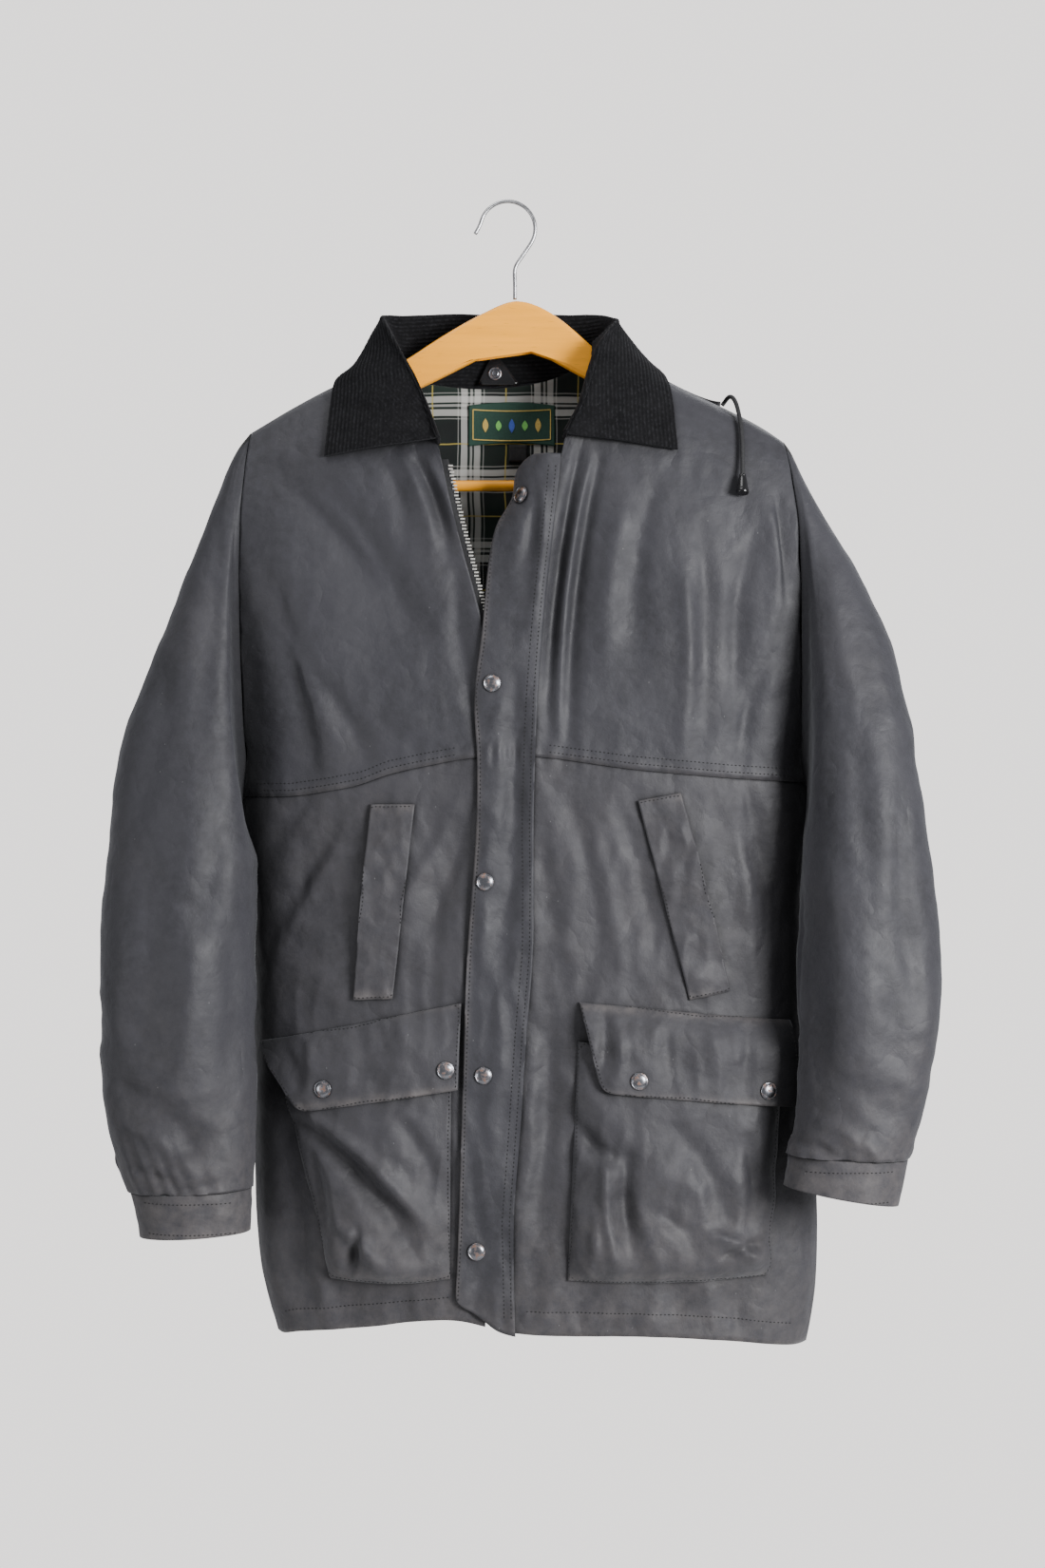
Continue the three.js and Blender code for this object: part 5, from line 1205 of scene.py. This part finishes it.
def make_storm_flap():
    """The flap over the zip, its top end turned back a little where it is unsnapped."""
    flap = cloth_copy("storm_flap", "storm_flap_cloth", 3, 75)
    own = creases(
        (22, -250, 14, -330, 4, 7, -3.4),
        (30, -262, 20, -380, 4, 6, 2.6),
        (2, -420, -8, -660, 5, 9, -2.4),
        (-4, -690, -10, -860, -4, 8, 1.8),
        (-30, -850, -26, -960, 3, 7, -2.0),
    )
    move_cloth(flap, lambda x, z: front_rise(x, z) + calm_at_snaps(x, z, crease_rise(own, x, z)), -1)
    co = coordinates(flap)
    x, z = co[:, 0] / MM, co[:, 2] / MM
    hem = np.clip((-950 - z) / 36, 0, 1) ** 2
    co[:, 2] -= 8 * hem * np.exp(-(((x + 12) / 15) ** 2)) * MM
    set_coordinates(flap, co)
    edge = x - line_x(FLAP_EDGE, z)
    set_wear(flap, 0.85 * np.exp(-((edge / 3.2) ** 2)) + edge_wear(z, ((z.min() + 6, 30, 0.5),)))
    finish_cloth(
        flap, [finish("waxed"), finish("lining_dark")], inside_of(-1), ["storm_flap"]
    )
    declare_sheet(flap, 62, 760, "hung", ["upper_front_right_cloth"])


# The collar's fold, clockwise round the neck from its left point as seen from the front:
# the seam at the neck, the roll it folds on, and its free edge, in the frame's millimetres.
COLLAR = [
    (-60, -221, -62, -63, -214, -159, -43, -229),
    (-73, -197, -71, -54, -187, -157, -34, -206),
    (-83, -174, -80, -45, -165, -155, -22, -181),
    (-90, -153, -92, -33, -141, -152.5, -8, -158),
    (-93, -141, -104, -18, -120, -142, 12, -148),
    (-94, -136, -113, -1, -101, -128, 27, -138),
    (-88, -153, -106, 12, -98, -110, 35, -134),
    (-72, -163, -84, 21, -97, -82, 42, -135),
    (-40, -163, -45, 26, -95, -42, 46, -135),
    (0, -159, 0, 28, -95, 0, 47, -134),
    (36, -155, 42, 27, -95, 40, 46, -135),
    (58, -153, 70, 22, -96, 72, 43, -137),
    (71, -146, 89, 12, -98, 98, 37, -139),
    (76, -124, 100, -1, -104, 120, 28, -141),
    (75, -140, 91, -19, -117, 134, 12, -146),
    (72, -152, 81, -33, -134, 141, -8, -157),
    (66, -176, 73, -45, -160, 144.5, -22, -180),
    (58, -197, 65, -54, -186, 146, -34, -202),
    (49, -215, 53, -63, -210, 148, -44, -223),
]
COLLAR_SECTION = {"roll": 2.9, "bulge": 5.0, "thick": 2.2}


def hermite_rows(rows, count):
    """Smooth rows between the given ones, as many as count."""
    rows = np.array(rows, float)
    slopes = np.gradient(rows, axis=0)
    places = np.linspace(0, len(rows) - 1, count)
    i = np.clip(places.astype(int), 0, len(rows) - 2)
    t = (places - i)[:, None]
    a, b, m, n = rows[i], rows[i + 1], slopes[i], slopes[i + 1]
    from_a, from_b = 2 * t**3 - 3 * t**2 + 1, 3 * t**2 - 2 * t**3
    return from_a * a + (t**3 - 2 * t**2 + t) * m + from_b * b + (t**3 - t**2) * n


def nearest_along_y(tree, x, z, y):
    """The point of a surface nearest to the line along Y through x and z, in millimetres."""
    for _ in range(6):
        found = tree.find_nearest(mm(x, y, z))[0]
        y = found.y / MM
    return y


def first_hit(trees, x, z, facing=-1):
    """Where a line of sight along Y first meets any of the surfaces, with the surface's direction."""
    best = None
    for tree in trees:
        place, normal, _, _ = tree.ray_cast(mm(x, facing * 400, z), Vector((0, -facing, 0)), 0.8)
        if place is not None and (best is None or (place.y - best[0].y) * facing > 0):
            best = (place, normal)
    return best


def surface_tree(obj):
    shape = bmesh.new()
    shape.from_mesh(obj.data)
    tree = BVHTree.FromBMesh(shape)
    shape.free()
    return tree


def node_tree(*nodes):
    return [surface_tree(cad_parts[n]) for n in nodes]


def unit(v):
    return v / np.linalg.norm(v)


def collar_section(row, at_back, trees, columns):
    """Evenly stepped points from the neck seam over the roll to the free edge."""
    neck = np.array([row[0] + 1.5 * np.sign(-8 - row[0]), 0.0, row[1] + 1.5])
    fronts, back = trees
    if at_back:
        neck[1] = nearest_along_y(back[0], neck[0], neck[2], 20.0)
    else:
        side = fronts[0] if neck[0] < 0 else fronts[1]
        neck[1] = nearest_along_y(side, neck[0], neck[2], -40.0)
    roll, edge = np.array(row[2:5]), np.array(row[5:8])
    rise = unit(roll - neck)
    outward = edge - roll
    outward = unit(outward - rise * (outward @ rise))
    turn = COLLAR_SECTION["roll"]
    inner, outer = roll - rise * turn - outward * turn, roll - rise * turn + outward * turn
    belly = (outer + edge) / 2 + outward * 3 + rise * 3
    if not at_back:
        for place, clear in ((edge, 4.6), (belly, 6.5)):
            hit = first_hit(fronts, place[0], place[2])
            if hit:
                place[1] = min(place[1], hit[0].y / MM - clear)
    knots = np.array([neck, neck + 0.55 * (inner - neck), inner, roll, outer, belly, edge])
    fine = hermite_rows(knots, 61)
    run = np.concatenate([[0], np.cumsum(np.linalg.norm(np.diff(fine, axis=0), axis=1))])
    places = np.linspace(0, run[-1], columns)
    points = np.stack([np.interp(places, run, fine[:, k]) for k in range(3)], axis=1)
    return points, run[-1] - places, outward


def make_collar():
    """The needlecord collar: its ribs run along its free edge and stop at its ends."""
    sewing = bpy.context.scene.jacket_sewing
    pitch, rib = sewing.rib_pitch / MM, sewing.rib_rise / MM
    stations, columns = 110, 170
    trees = node_tree("upper_front_left", "upper_front_right"), node_tree("back")
    rows = hermite_rows(COLLAR, stations)
    grid, away, outs = [], [], []
    for k, row in enumerate(rows):
        share = k / (stations - 1)
        points, distance, outward = collar_section(row, 5 / 18 <= share <= 13 / 18, trees, columns)
        grid.append(points)
        away.append(distance)
        outs.append(outward)
    grid, away = np.array(grid), np.array(away)
    for k in range(2):
        grid[1:-1] = (grid[:-2] + 2 * grid[1:-1] + grid[2:]) / 4
    along, across = np.gradient(grid, axis=0), np.gradient(grid, axis=1)
    normal = np.cross(along, across)
    normal /= np.linalg.norm(normal, axis=2)[:, :, None]
    middle = int(columns * 0.75)
    if (normal[:, middle] * np.array(outs)).sum() < 0:
        normal = -normal
    x, z = grid[..., 0], grid[..., 2]
    waves = 0.8 * crumple(x + 0.4 * grid[..., 1], z, 34, 81) + 0.25 * crumple(x, z + grid[..., 1], 12, 82)
    crown = 0.5 + 0.5 * np.cos(math.tau * away / pitch)
    worn_rib = 0.85 + 0.15 * crumple(x, z, 9, 83)
    edge_fade = np.clip(away / 1.6, 0, 1)
    top = grid + normal * (waves + rib * (crown**0.8) * worn_rib - 0.6 * (1 - edge_fade))[..., None]
    under = grid + normal * (waves - COLLAR_SECTION["thick"] + 0.7 * (1 - edge_fade))[..., None]
    points = np.concatenate([top.reshape(-1, 3), under.reshape(-1, 3)]) * MM
    faces = []
    half = stations * columns
    for i in range(stations - 1):
        for j in range(columns - 1):
            a, b = i * columns + j, i * columns + j + 1
            faces.append((a, b, b + columns, a + columns))
            faces.append((half + a + columns, half + b + columns, half + b, half + a))
        for j in (0, columns - 1):
            a = i * columns + j
            faces.append((a, a + columns, half + a + columns, half + a))
    for i in (0, stations - 1):
        for j in range(columns - 1):
            a = i * columns + j
            faces.append((a, a + 1, half + a + 1, half + a))
    collar = add_mesh("collar_needlecord", points, faces)
    # The crown attribute marks the rib tops, which the needlecord finish paints paler, partly as wear and
    # partly as a painted highlight.
    attribute = collar.data.attributes.new("crown", "FLOAT", "POINT")
    attribute.data.foreach_set("value", np.concatenate([crown.ravel(), np.zeros(half)]).astype(np.float32))
    make_outward(collar)
    finish_cloth(collar, [finish("needlecord")], replaced=["collar"], turn=70)
    declare_sheet(collar, 540, 115, "hung", ["back_cloth"])


def make_outward(obj):
    pick(obj)
    bpy.ops.object.mode_set(mode="EDIT")
    bpy.ops.mesh.select_all(action="SELECT")
    bpy.ops.mesh.normals_make_consistent(inside=False)
    bpy.ops.object.mode_set(mode="OBJECT")


def boxes_mesh(name, boxes):
    """Small blocks in one mesh: each a middle, three half axes, in millimetres."""
    corners = [
        (-1, -1, -1), (1, -1, -1), (1, 1, -1), (-1, 1, -1), (-1, -1, 1), (1, -1, 1), (1, 1, 1), (-1, 1, 1)
    ]
    sides = [(0, 3, 2, 1), (4, 5, 6, 7), (0, 1, 5, 4), (1, 2, 6, 5), (2, 3, 7, 6), (3, 0, 4, 7)]
    points, faces = [], []
    for middle, a, b, c in boxes:
        base = len(points)
        points += [middle + a * i + b * j + c * k for i, j, k in corners]
        faces += [tuple(base + i for i in side) for side in sides]
    obj = add_mesh(name, np.array(points) * MM, faces)
    make_outward(obj)
    return obj


def make_zip():
    """Both zip tapes and the teeth along their free edges."""
    pitch = bpy.context.scene.jacket_fittings.zip_pitch / MM
    for side in SIDES:
        tape = cloth_copy(f"zip_tape_{side}", f"zip_tape_{side}_cloth", 3, 75)
        move_cloth(tape, front_rise, -1)
        finish_cloth(tape, [finish("tape")], None, [f"zip_tape_{side}"])
        declare_sheet(tape, 14, 745, "hung", [f"lower_front_{side}_cloth"])
        co = coordinates(tape) / MM
        toward = 1 if side == "left" else -1
        boxes = []
        for z in np.arange(-238, -962, -pitch):
            near = co[np.abs(co[:, 2] - z) < 6]
            free = near[np.argmax(near[:, 0] * toward)]
            lift = near[:, 1][np.abs(near[:, 0] - free[0]) < 2].min()
            middle = np.array([free[0] - 0.6 * toward, lift + 0.3, z - (0 if side == "left" else pitch / 2)])
            boxes.append((middle, np.array([1.9, 0, 0]), np.array([0, 1.15, 0]), np.array([0, 0, 0.62])))
        teeth = boxes_mesh(f"zip_teeth_{side}", boxes)
        finish_cloth(teeth, [finish("teeth")], turn=30)


def ribbon(parts, trees, points, half_width, lift, thick=0.3, facing=-1):
    """Adds a thin strip of cloth or thread laid along a line of x and z places on a surface."""
    points = np.array(points, float)
    half_width = np.broadcast_to(half_width, len(points))
    vertices, faces = parts
    rungs = []
    tangent = np.gradient(points, axis=0)
    tangent /= np.maximum(np.linalg.norm(tangent, axis=1), 1e-9)[:, None]
    for (x, z), (tx, tz), width in zip(points, tangent, half_width):
        corners = []
        for side in (-1, 1):
            px, pz = x - tz * width * side, z + tx * width * side
            hit = first_hit(trees, px, pz, facing)
            if not hit:
                raise RuntimeError(f"a strip finds no cloth at {px:.1f} {pz:.1f}")
            y = hit[0].y / MM
            corners += [(px, y + facing * (lift + thick), pz), (px, y + facing * (lift - thick), pz)]
        rungs.append(corners)
    base = len(vertices)
    for corners in rungs:
        vertices.extend(corners)
    for i in range(len(rungs) - 1):
        a, b = base + 4 * i, base + 4 * i + 4
        faces.extend(
            [
                (a, b, b + 2, a + 2), (a + 1, a + 3, b + 3, b + 1),
                (a, a + 1, b + 1, b), (a + 2, b + 2, b + 3, a + 3),
            ]
        )
    last = base + 4 * (len(rungs) - 1)
    faces.extend([(base, base + 2, base + 3, base + 1), (last, last + 1, last + 3, last + 2)])


def straight(x1, z1, x2, z2, step=2.0):
    count = max(3, int(math.hypot(x2 - x1, z2 - z1) / step) + 1)
    return np.stack([np.linspace(x1, x2, count), np.linspace(z1, z2, count)], axis=1)


def strips_mesh(name, parts, material):
    obj = add_mesh(name, np.array(parts[0]) * MM, parts[1])
    make_outward(obj)
    return finish_cloth(obj, [material], turn=40)


def make_label():
    """A plain woven label with a thin gold border and a row of small generic lozenges."""
    label = cloth_copy("neck_label", "neck_label_cloth", 3, 75)
    co = coordinates(label)
    x, z = co[:, 0] / MM, co[:, 2] / MM
    co[:, 1] += 0.35 * crumple(x, z, 26, 91) * MM
    set_coordinates(label, co)
    finish_cloth(label, [finish("label")], None, ["neck_label"])
    declare_sheet(label, 77, 38, "stretched", ["plaid_back_lining"])
    trees = [surface_tree(label)]
    low, high = np.min(co, axis=0) / MM, np.max(co, axis=0) / MM
    left, right = low[0] + 4, high[0] - 4
    top, bottom = high[2] - 6.5, low[2] + 6.5

    def dip(x):
        """The label's long edges sag a little in the middle."""
        share = (x - low[0]) / (high[0] - low[0])
        return -3.0 * 4 * share * (1 - share) * 0.5

    gold, green, blue = ([], []), ([], []), ([], [])
    for level in (top, bottom):
        line = straight(left, level, right, level)
        line[:, 1] += dip(line[:, 0])
        ribbon(gold, trees, line, 0.45, 0.35)
    for x in (left, right):
        ribbon(gold, trees, straight(x, top + dip(x), x, bottom + dip(x)), 0.45, 0.35)
    middle = (top + bottom) / 2
    for k, share in enumerate((0.16, 0.33, 0.5, 0.67, 0.84)):
        x = left + (right - left) * share
        tall = 4.6 if k % 2 else 6.2
        line = straight(x, middle + dip(x) + tall, x, middle + dip(x) - tall, 1.0)
        width = 2.6 * np.sin(np.linspace(0.04, math.pi - 0.04, len(line)))
        ribbon((gold, green, blue, green, gold)[k], trees, line, np.maximum(width, 0.15), 0.35)
    strips_mesh("label_gold", gold, finish("gold"))
    strips_mesh("label_green", green, finish("green"))
    strips_mesh("label_blue", blue, finish("blue"))


def make_neck_fittings():
    """The size loop under the label and the short tab with its snap behind the neck."""
    loop = cloth_copy("size_loop", "size_loop_cloth", 3, 75)
    finish_cloth(loop, [finish("tape")], None, ["size_loop"])
    tab = cloth_copy("collar_tab", "collar_tab_leather", 3, 60)
    co = coordinates(tab)
    x, z = co[:, 0] / MM, co[:, 2] / MM
    co[:, 1] += 0.3 * crumple(x, z, 20, 92) * MM
    set_coordinates(tab, co)
    finish_cloth(tab, [finish("gloss")], None, ["collar_tab"])


def lathe(name, profile, sides=40):
    """A turned shape about Z, extruded ring by ring from its foot: rows of radius and height."""
    clear_selection()
    first = profile[0]
    at = (0, 0, first[1] * MM)
    bpy.ops.mesh.primitive_circle_add(vertices=sides, radius=first[0] * MM, fill_type="NGON", location=at)
    obj = bpy.context.object
    obj.name = name
    bpy.ops.object.mode_set(mode="EDIT")
    bpy.ops.mesh.select_all(action="SELECT")
    for (r0, h0), (r1, h1) in zip(profile, profile[1:]):
        bpy.ops.mesh.extrude_region_move(TRANSFORM_OT_translate={"value": (0, 0, (h1 - h0) * MM)})
        bpy.ops.transform.resize(value=(r1 / r0, r1 / r0, 1))
    bpy.ops.mesh.select_all(action="SELECT")
    bpy.ops.mesh.normals_make_consistent(inside=False)
    bpy.ops.object.mode_set(mode="OBJECT")
    bpy.ops.object.transform_apply(location=True, rotation=True, scale=True)
    return obj


SNAP_CAP = [
    (7.3, 0.0), (7.5, 0.3), (7.5, 0.7), (7.2, 1.05), (6.7, 1.2), (6.4, 1.05), (6.2, 1.1),
    (5.7, 1.5), (4.6, 1.95), (3.2, 2.25), (1.8, 2.38), (0.6, 2.4),
]
SNAP_RING = [
    (7.3, 0.0), (7.5, 0.4), (7.3, 1.0), (6.4, 1.3), (5.4, 1.1), (5.0, 0.5), (4.2, 0.45), (4.0, 1.1),
    (3.4, 1.35), (2.4, 1.2), (2.0, 0.4), (0.6, 0.35),
]


def snap_frame(node):
    """A snap's middle, its outward direction, its radius and its height, in millimetres."""
    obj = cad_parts[node]
    co = coordinates(obj) / MM
    middle = co.mean(axis=0)
    axis = np.linalg.svd(co - middle, full_matrices=False)[2][2]
    if axis[1] > 0:
        axis = -axis
    along = (co - middle) @ axis
    radial = np.linalg.norm(co - middle - np.outer(along, axis), axis=1)
    return middle, axis, radial.max(), along.min()


def make_snaps():
    """The pressed snap caps of the storm flap and the pockets, and the ring snap of the tab."""
    cap = lathe("snap_cap_pattern", SNAP_CAP)
    ring = lathe("snap_ring_pattern", SNAP_RING)
    for node in SNAP_NODES:
        pattern = ring if node == "snap_tab" else cap
        middle, axis, radius, foot = snap_frame(node)
        snap = bpy.data.objects.new(f"{node}_cap", pattern.data.copy())
        bpy.context.scene.collection.objects.link(snap)
        turn = Vector(axis).to_track_quat("Z", "Y").to_matrix().to_4x4()
        size = Matrix.Scale(radius / 7.5, 4)
        place = Matrix.Translation(Vector((middle + axis * foot) * MM))
        snap.data.transform(place @ turn @ size)
        finish_cloth(snap, [finish("nickel")], None, [node], 28)
    for pattern in (cap, ring):
        bpy.data.objects.remove(pattern, do_unlink=True)


def stitch_row(stitches, trees, line, facing=-1):
    """Adds stitches along a line of x and z places, each a small spindle of thread on the cloth."""
    sewing = bpy.context.scene.jacket_sewing
    pitch, length, thick = sewing.stitch_pitch / MM, sewing.stitch_length / MM, sewing.thread / MM / 2
    line = np.array(line, float)
    run = np.concatenate([[0], np.cumsum(np.linalg.norm(np.diff(line, axis=0), axis=1))])
    vertices, faces = stitches
    for start in np.arange(pitch / 2, run[-1] - length, pitch):
        ends = []
        for place in (start, start + length):
            x, z = np.interp(place, run, line[:, 0]), np.interp(place, run, line[:, 1])
            hit = first_hit(trees, x, z, facing)
            if not hit:
                break
            ends.append((np.array(hit[0]) / MM, np.array(hit[1])))
        if len(ends) < 2 or abs(ends[0][0][1] - ends[1][0][1]) > 2.5:
            continue
        out = ends[0][1] * (1 if ends[0][1][1] * facing > 0 else -1)
        along = unit(ends[1][0] - ends[0][0])
        side = unit(np.cross(along, out))
        middle = (ends[0][0] + ends[1][0]) / 2 + out * 0.12
        base = len(vertices)
        vertices.extend([
            ends[0][0] - out * 0.1, ends[1][0] - out * 0.1,
            middle + side * thick, middle + out * thick, middle - side * thick, middle - out * thick,
        ])
        ring = (2, 3, 4, 5)
        for k in range(4):
            faces.append((base, base + ring[k], base + ring[(k + 1) % 4]))
            faces.append((base + 1, base + ring[(k + 1) % 4], base + ring[k]))


def outline(obj, inset):
    """A closed line inside the front view of a flat piece, inset from its edge, by its own mesh."""
    co = coordinates(obj)[:, [0, 2]] / MM
    middle = (co.min(axis=0) + co.max(axis=0)) / 2
    angles = np.linspace(0, math.tau, 97)
    line = []
    for angle in angles:
        d = np.array([math.cos(angle), math.sin(angle)])
        off = co - middle
        near = off[np.abs(off @ np.array([-d[1], d[0]])) < 2.5]
        reach = (near @ d).max()
        line.append(middle + d * (reach - inset))
    return line


def make_stitching():
    """Rows of stitches on every seam and edge that shows them, and on the hidden back."""
    cloth = {name: bpy.data.objects[name + "_cloth"] for name in (
        "upper_front_left", "upper_front_right", "lower_front_left", "lower_front_right",
        "storm_flap", "back", "pocket_bag_left", "pocket_bag_right",
        "pocket_flap_left", "pocket_flap_right", "welt_left", "welt_right",
        "cuff_left", "cuff_right", "hood",
    )}
    trees = {name: surface_tree(obj) for name, obj in cloth.items()}
    rows = ([], [])
    for side in SIDES:
        fronts = [trees[f"upper_front_{side}"], trees[f"lower_front_{side}"]]
        ends = (-222, -42) if side == "left" else (34, 252)
        x = np.linspace(*ends, 60)
        for up in (3.0, 9.0):
            stitch_row(rows, fronts, np.stack([x, line_z(YOKE_LINE, x) + up], axis=1))
        ends = (-222, -48) if side == "left" else (14, 250)
        x = np.linspace(*ends, 60)
        stitch_row(rows, fronts, np.stack([x, line_z(HEM_LINE, x) + 20], axis=1))
        for piece, inset in (("pocket_flap", 2.4), ("pocket_bag", 2.6), ("welt", 2.2)):
            name = f"{piece}_{side}"
            stitch_row(rows, [trees[name]], outline(cloth[name], inset))
        name = f"cuff_{side}"
        co = coordinates(cloth[name]) / MM
        low, high = co.min(axis=0), co.max(axis=0)
        for up in (6, 32):
            z = low[2] + up
            stitch_row(rows, [trees[name]], straight(low[0] + 3, z, high[0] - 3, z))
    z = np.linspace(-236, -975, 120)
    for over in (3.2, 9.4):
        stitch_row(rows, [trees["storm_flap"]], np.stack([line_x(FLAP_SEAM, z) - over, z], axis=1))
    stitch_row(rows, [trees["storm_flap"]], np.stack([line_x(FLAP_EDGE, z) + 2.6, z], axis=1))
    x = np.linspace(-215, 245, 90)
    stitch_row(rows, [trees["back"]], np.stack([x, line_z(HEM_LINE, x) + 20], axis=1), 1)
    stitches = add_mesh("stitching", np.array(rows[0]) * MM, rows[1])
    make_outward(stitches)
    finish_cloth(stitches, [finish("thread")], turn=60)


def make_hanger():
    """The beech hanger with its bar and its bent steel hook."""
    for node, levels in (("hanger_arms", 2), ("hanger_bar", 2)):
        wood = cloth_copy(node, f"{node}_wood", levels, 38)
        finish_cloth(wood, [finish("beech")], None, [node], 30)
    hook = cloth_copy("hanger_hook", "hanger_hook_wire", 2, 60)
    finish_cloth(hook, [finish("steel")], None, ["hanger_hook"], 50)


class JACKET_OT_stage(bpy.types.Operator):
    """Lay the floor and set the lights and the camera"""

    bl_idname = "jacket.stage"
    bl_label = "Stage and camera"

    def execute(self, context):
        make_stage()
        return {"FINISHED"}


class JACKET_OT_drawcord(bpy.types.Operator):
    """Make the hood's drawcord and the bell on its end"""

    bl_idname = "jacket.drawcord"
    bl_label = "Drawcord"

    def execute(self, context):
        make_drawcord()
        return {"FINISHED"}


class JACKET_OT_body(bpy.types.Operator):
    """Dress the fronts, the back, its lining and the hood"""

    bl_idname = "jacket.body"
    bl_label = "Body and hood"

    def execute(self, context):
        make_fronts()
        make_back()
        make_hood()
        return {"FINISHED"}


class JACKET_OT_sleeves(bpy.types.Operator):
    """Dress both sleeves and their cuffs"""

    bl_idname = "jacket.sleeves"
    bl_label = "Sleeves and cuffs"

    def execute(self, context):
        make_sleeves()
        return {"FINISHED"}


class JACKET_OT_pockets(bpy.types.Operator):
    """Dress the pocket bags, their flaps and the welts"""

    bl_idname = "jacket.pockets"
    bl_label = "Pockets"

    def execute(self, context):
        make_pockets()
        return {"FINISHED"}


class JACKET_OT_closing(bpy.types.Operator):
    """Dress the storm flap and the zip under it"""

    bl_idname = "jacket.closing"
    bl_label = "Storm flap and zip"

    def execute(self, context):
        make_storm_flap()
        make_zip()
        return {"FINISHED"}


class JACKET_OT_collar(bpy.types.Operator):
    """Make the ribbed collar"""

    bl_idname = "jacket.collar"
    bl_label = "Collar"

    def execute(self, context):
        make_collar()
        return {"FINISHED"}


class JACKET_OT_neck(bpy.types.Operator):
    """Make the label, the size loop and the collar tab"""

    bl_idname = "jacket.neck"
    bl_label = "Label and neck fittings"

    def execute(self, context):
        make_label()
        make_neck_fittings()
        return {"FINISHED"}


class JACKET_OT_snaps(bpy.types.Operator):
    """Set the snap caps"""

    bl_idname = "jacket.snaps"
    bl_label = "Snaps"

    def execute(self, context):
        make_snaps()
        return {"FINISHED"}


class JACKET_OT_stitching(bpy.types.Operator):
    """Sew the rows of stitches onto the finished cloth"""

    bl_idname = "jacket.stitching"
    bl_label = "Stitching"

    def execute(self, context):
        make_stitching()
        return {"FINISHED"}


class JACKET_OT_hanger(bpy.types.Operator):
    """Finish the wooden hanger and its hook"""

    bl_idname = "jacket.hanger"
    bl_label = "Hanger"

    def execute(self, context):
        make_hanger()
        return {"FINISHED"}


GROUPS = (JacketClothLooks, JacketSewing, JacketFittings, JacketStage)
STEPS = (
    JACKET_OT_stage, JACKET_OT_drawcord, JACKET_OT_body, JACKET_OT_sleeves, JACKET_OT_pockets,
    JACKET_OT_closing,
    JACKET_OT_collar, JACKET_OT_neck, JACKET_OT_snaps, JACKET_OT_stitching, JACKET_OT_hanger,
)


class JACKET_PT_panel(bpy.types.Panel):
    """The jacket's pieces in the order they are made"""

    bl_idname = "JACKET_PT_panel"
    bl_label = "Waxed jacket"
    bl_space_type = "VIEW_3D"
    bl_region_type = "UI"
    bl_category = "Jacket"

    def draw(self, context):
        for step in STEPS:
            self.layout.operator(step.bl_idname)
        for group in ("jacket_cloth", "jacket_sewing", "jacket_fittings", "jacket_stage"):
            settings = getattr(context.scene, group)
            box = self.layout.box()
            for key in settings.bl_rna.properties.keys():
                if key not in ("rna_type", "name"):
                    box.prop(settings, key)


def register():
    for kind in (*GROUPS, *STEPS, JACKET_PT_panel):
        bpy.utils.register_class(kind)
    bpy.types.Scene.jacket_cloth = bpy.props.PointerProperty(type=JacketClothLooks)
    bpy.types.Scene.jacket_sewing = bpy.props.PointerProperty(type=JacketSewing)
    bpy.types.Scene.jacket_fittings = bpy.props.PointerProperty(type=JacketFittings)
    bpy.types.Scene.jacket_stage = bpy.props.PointerProperty(type=JacketStage)


def unregister():
    for name in ("jacket_cloth", "jacket_sewing", "jacket_fittings", "jacket_stage"):
        delattr(bpy.types.Scene, name)
    for kind in reversed((*GROUPS, *STEPS, JACKET_PT_panel)):
        bpy.utils.unregister_class(kind)


def main():
    register()
    for step in STEPS:
        group, name = step.bl_idname.split(".")
        getattr(getattr(bpy.ops, group), name)()


if __name__ == "__main__":
    main()
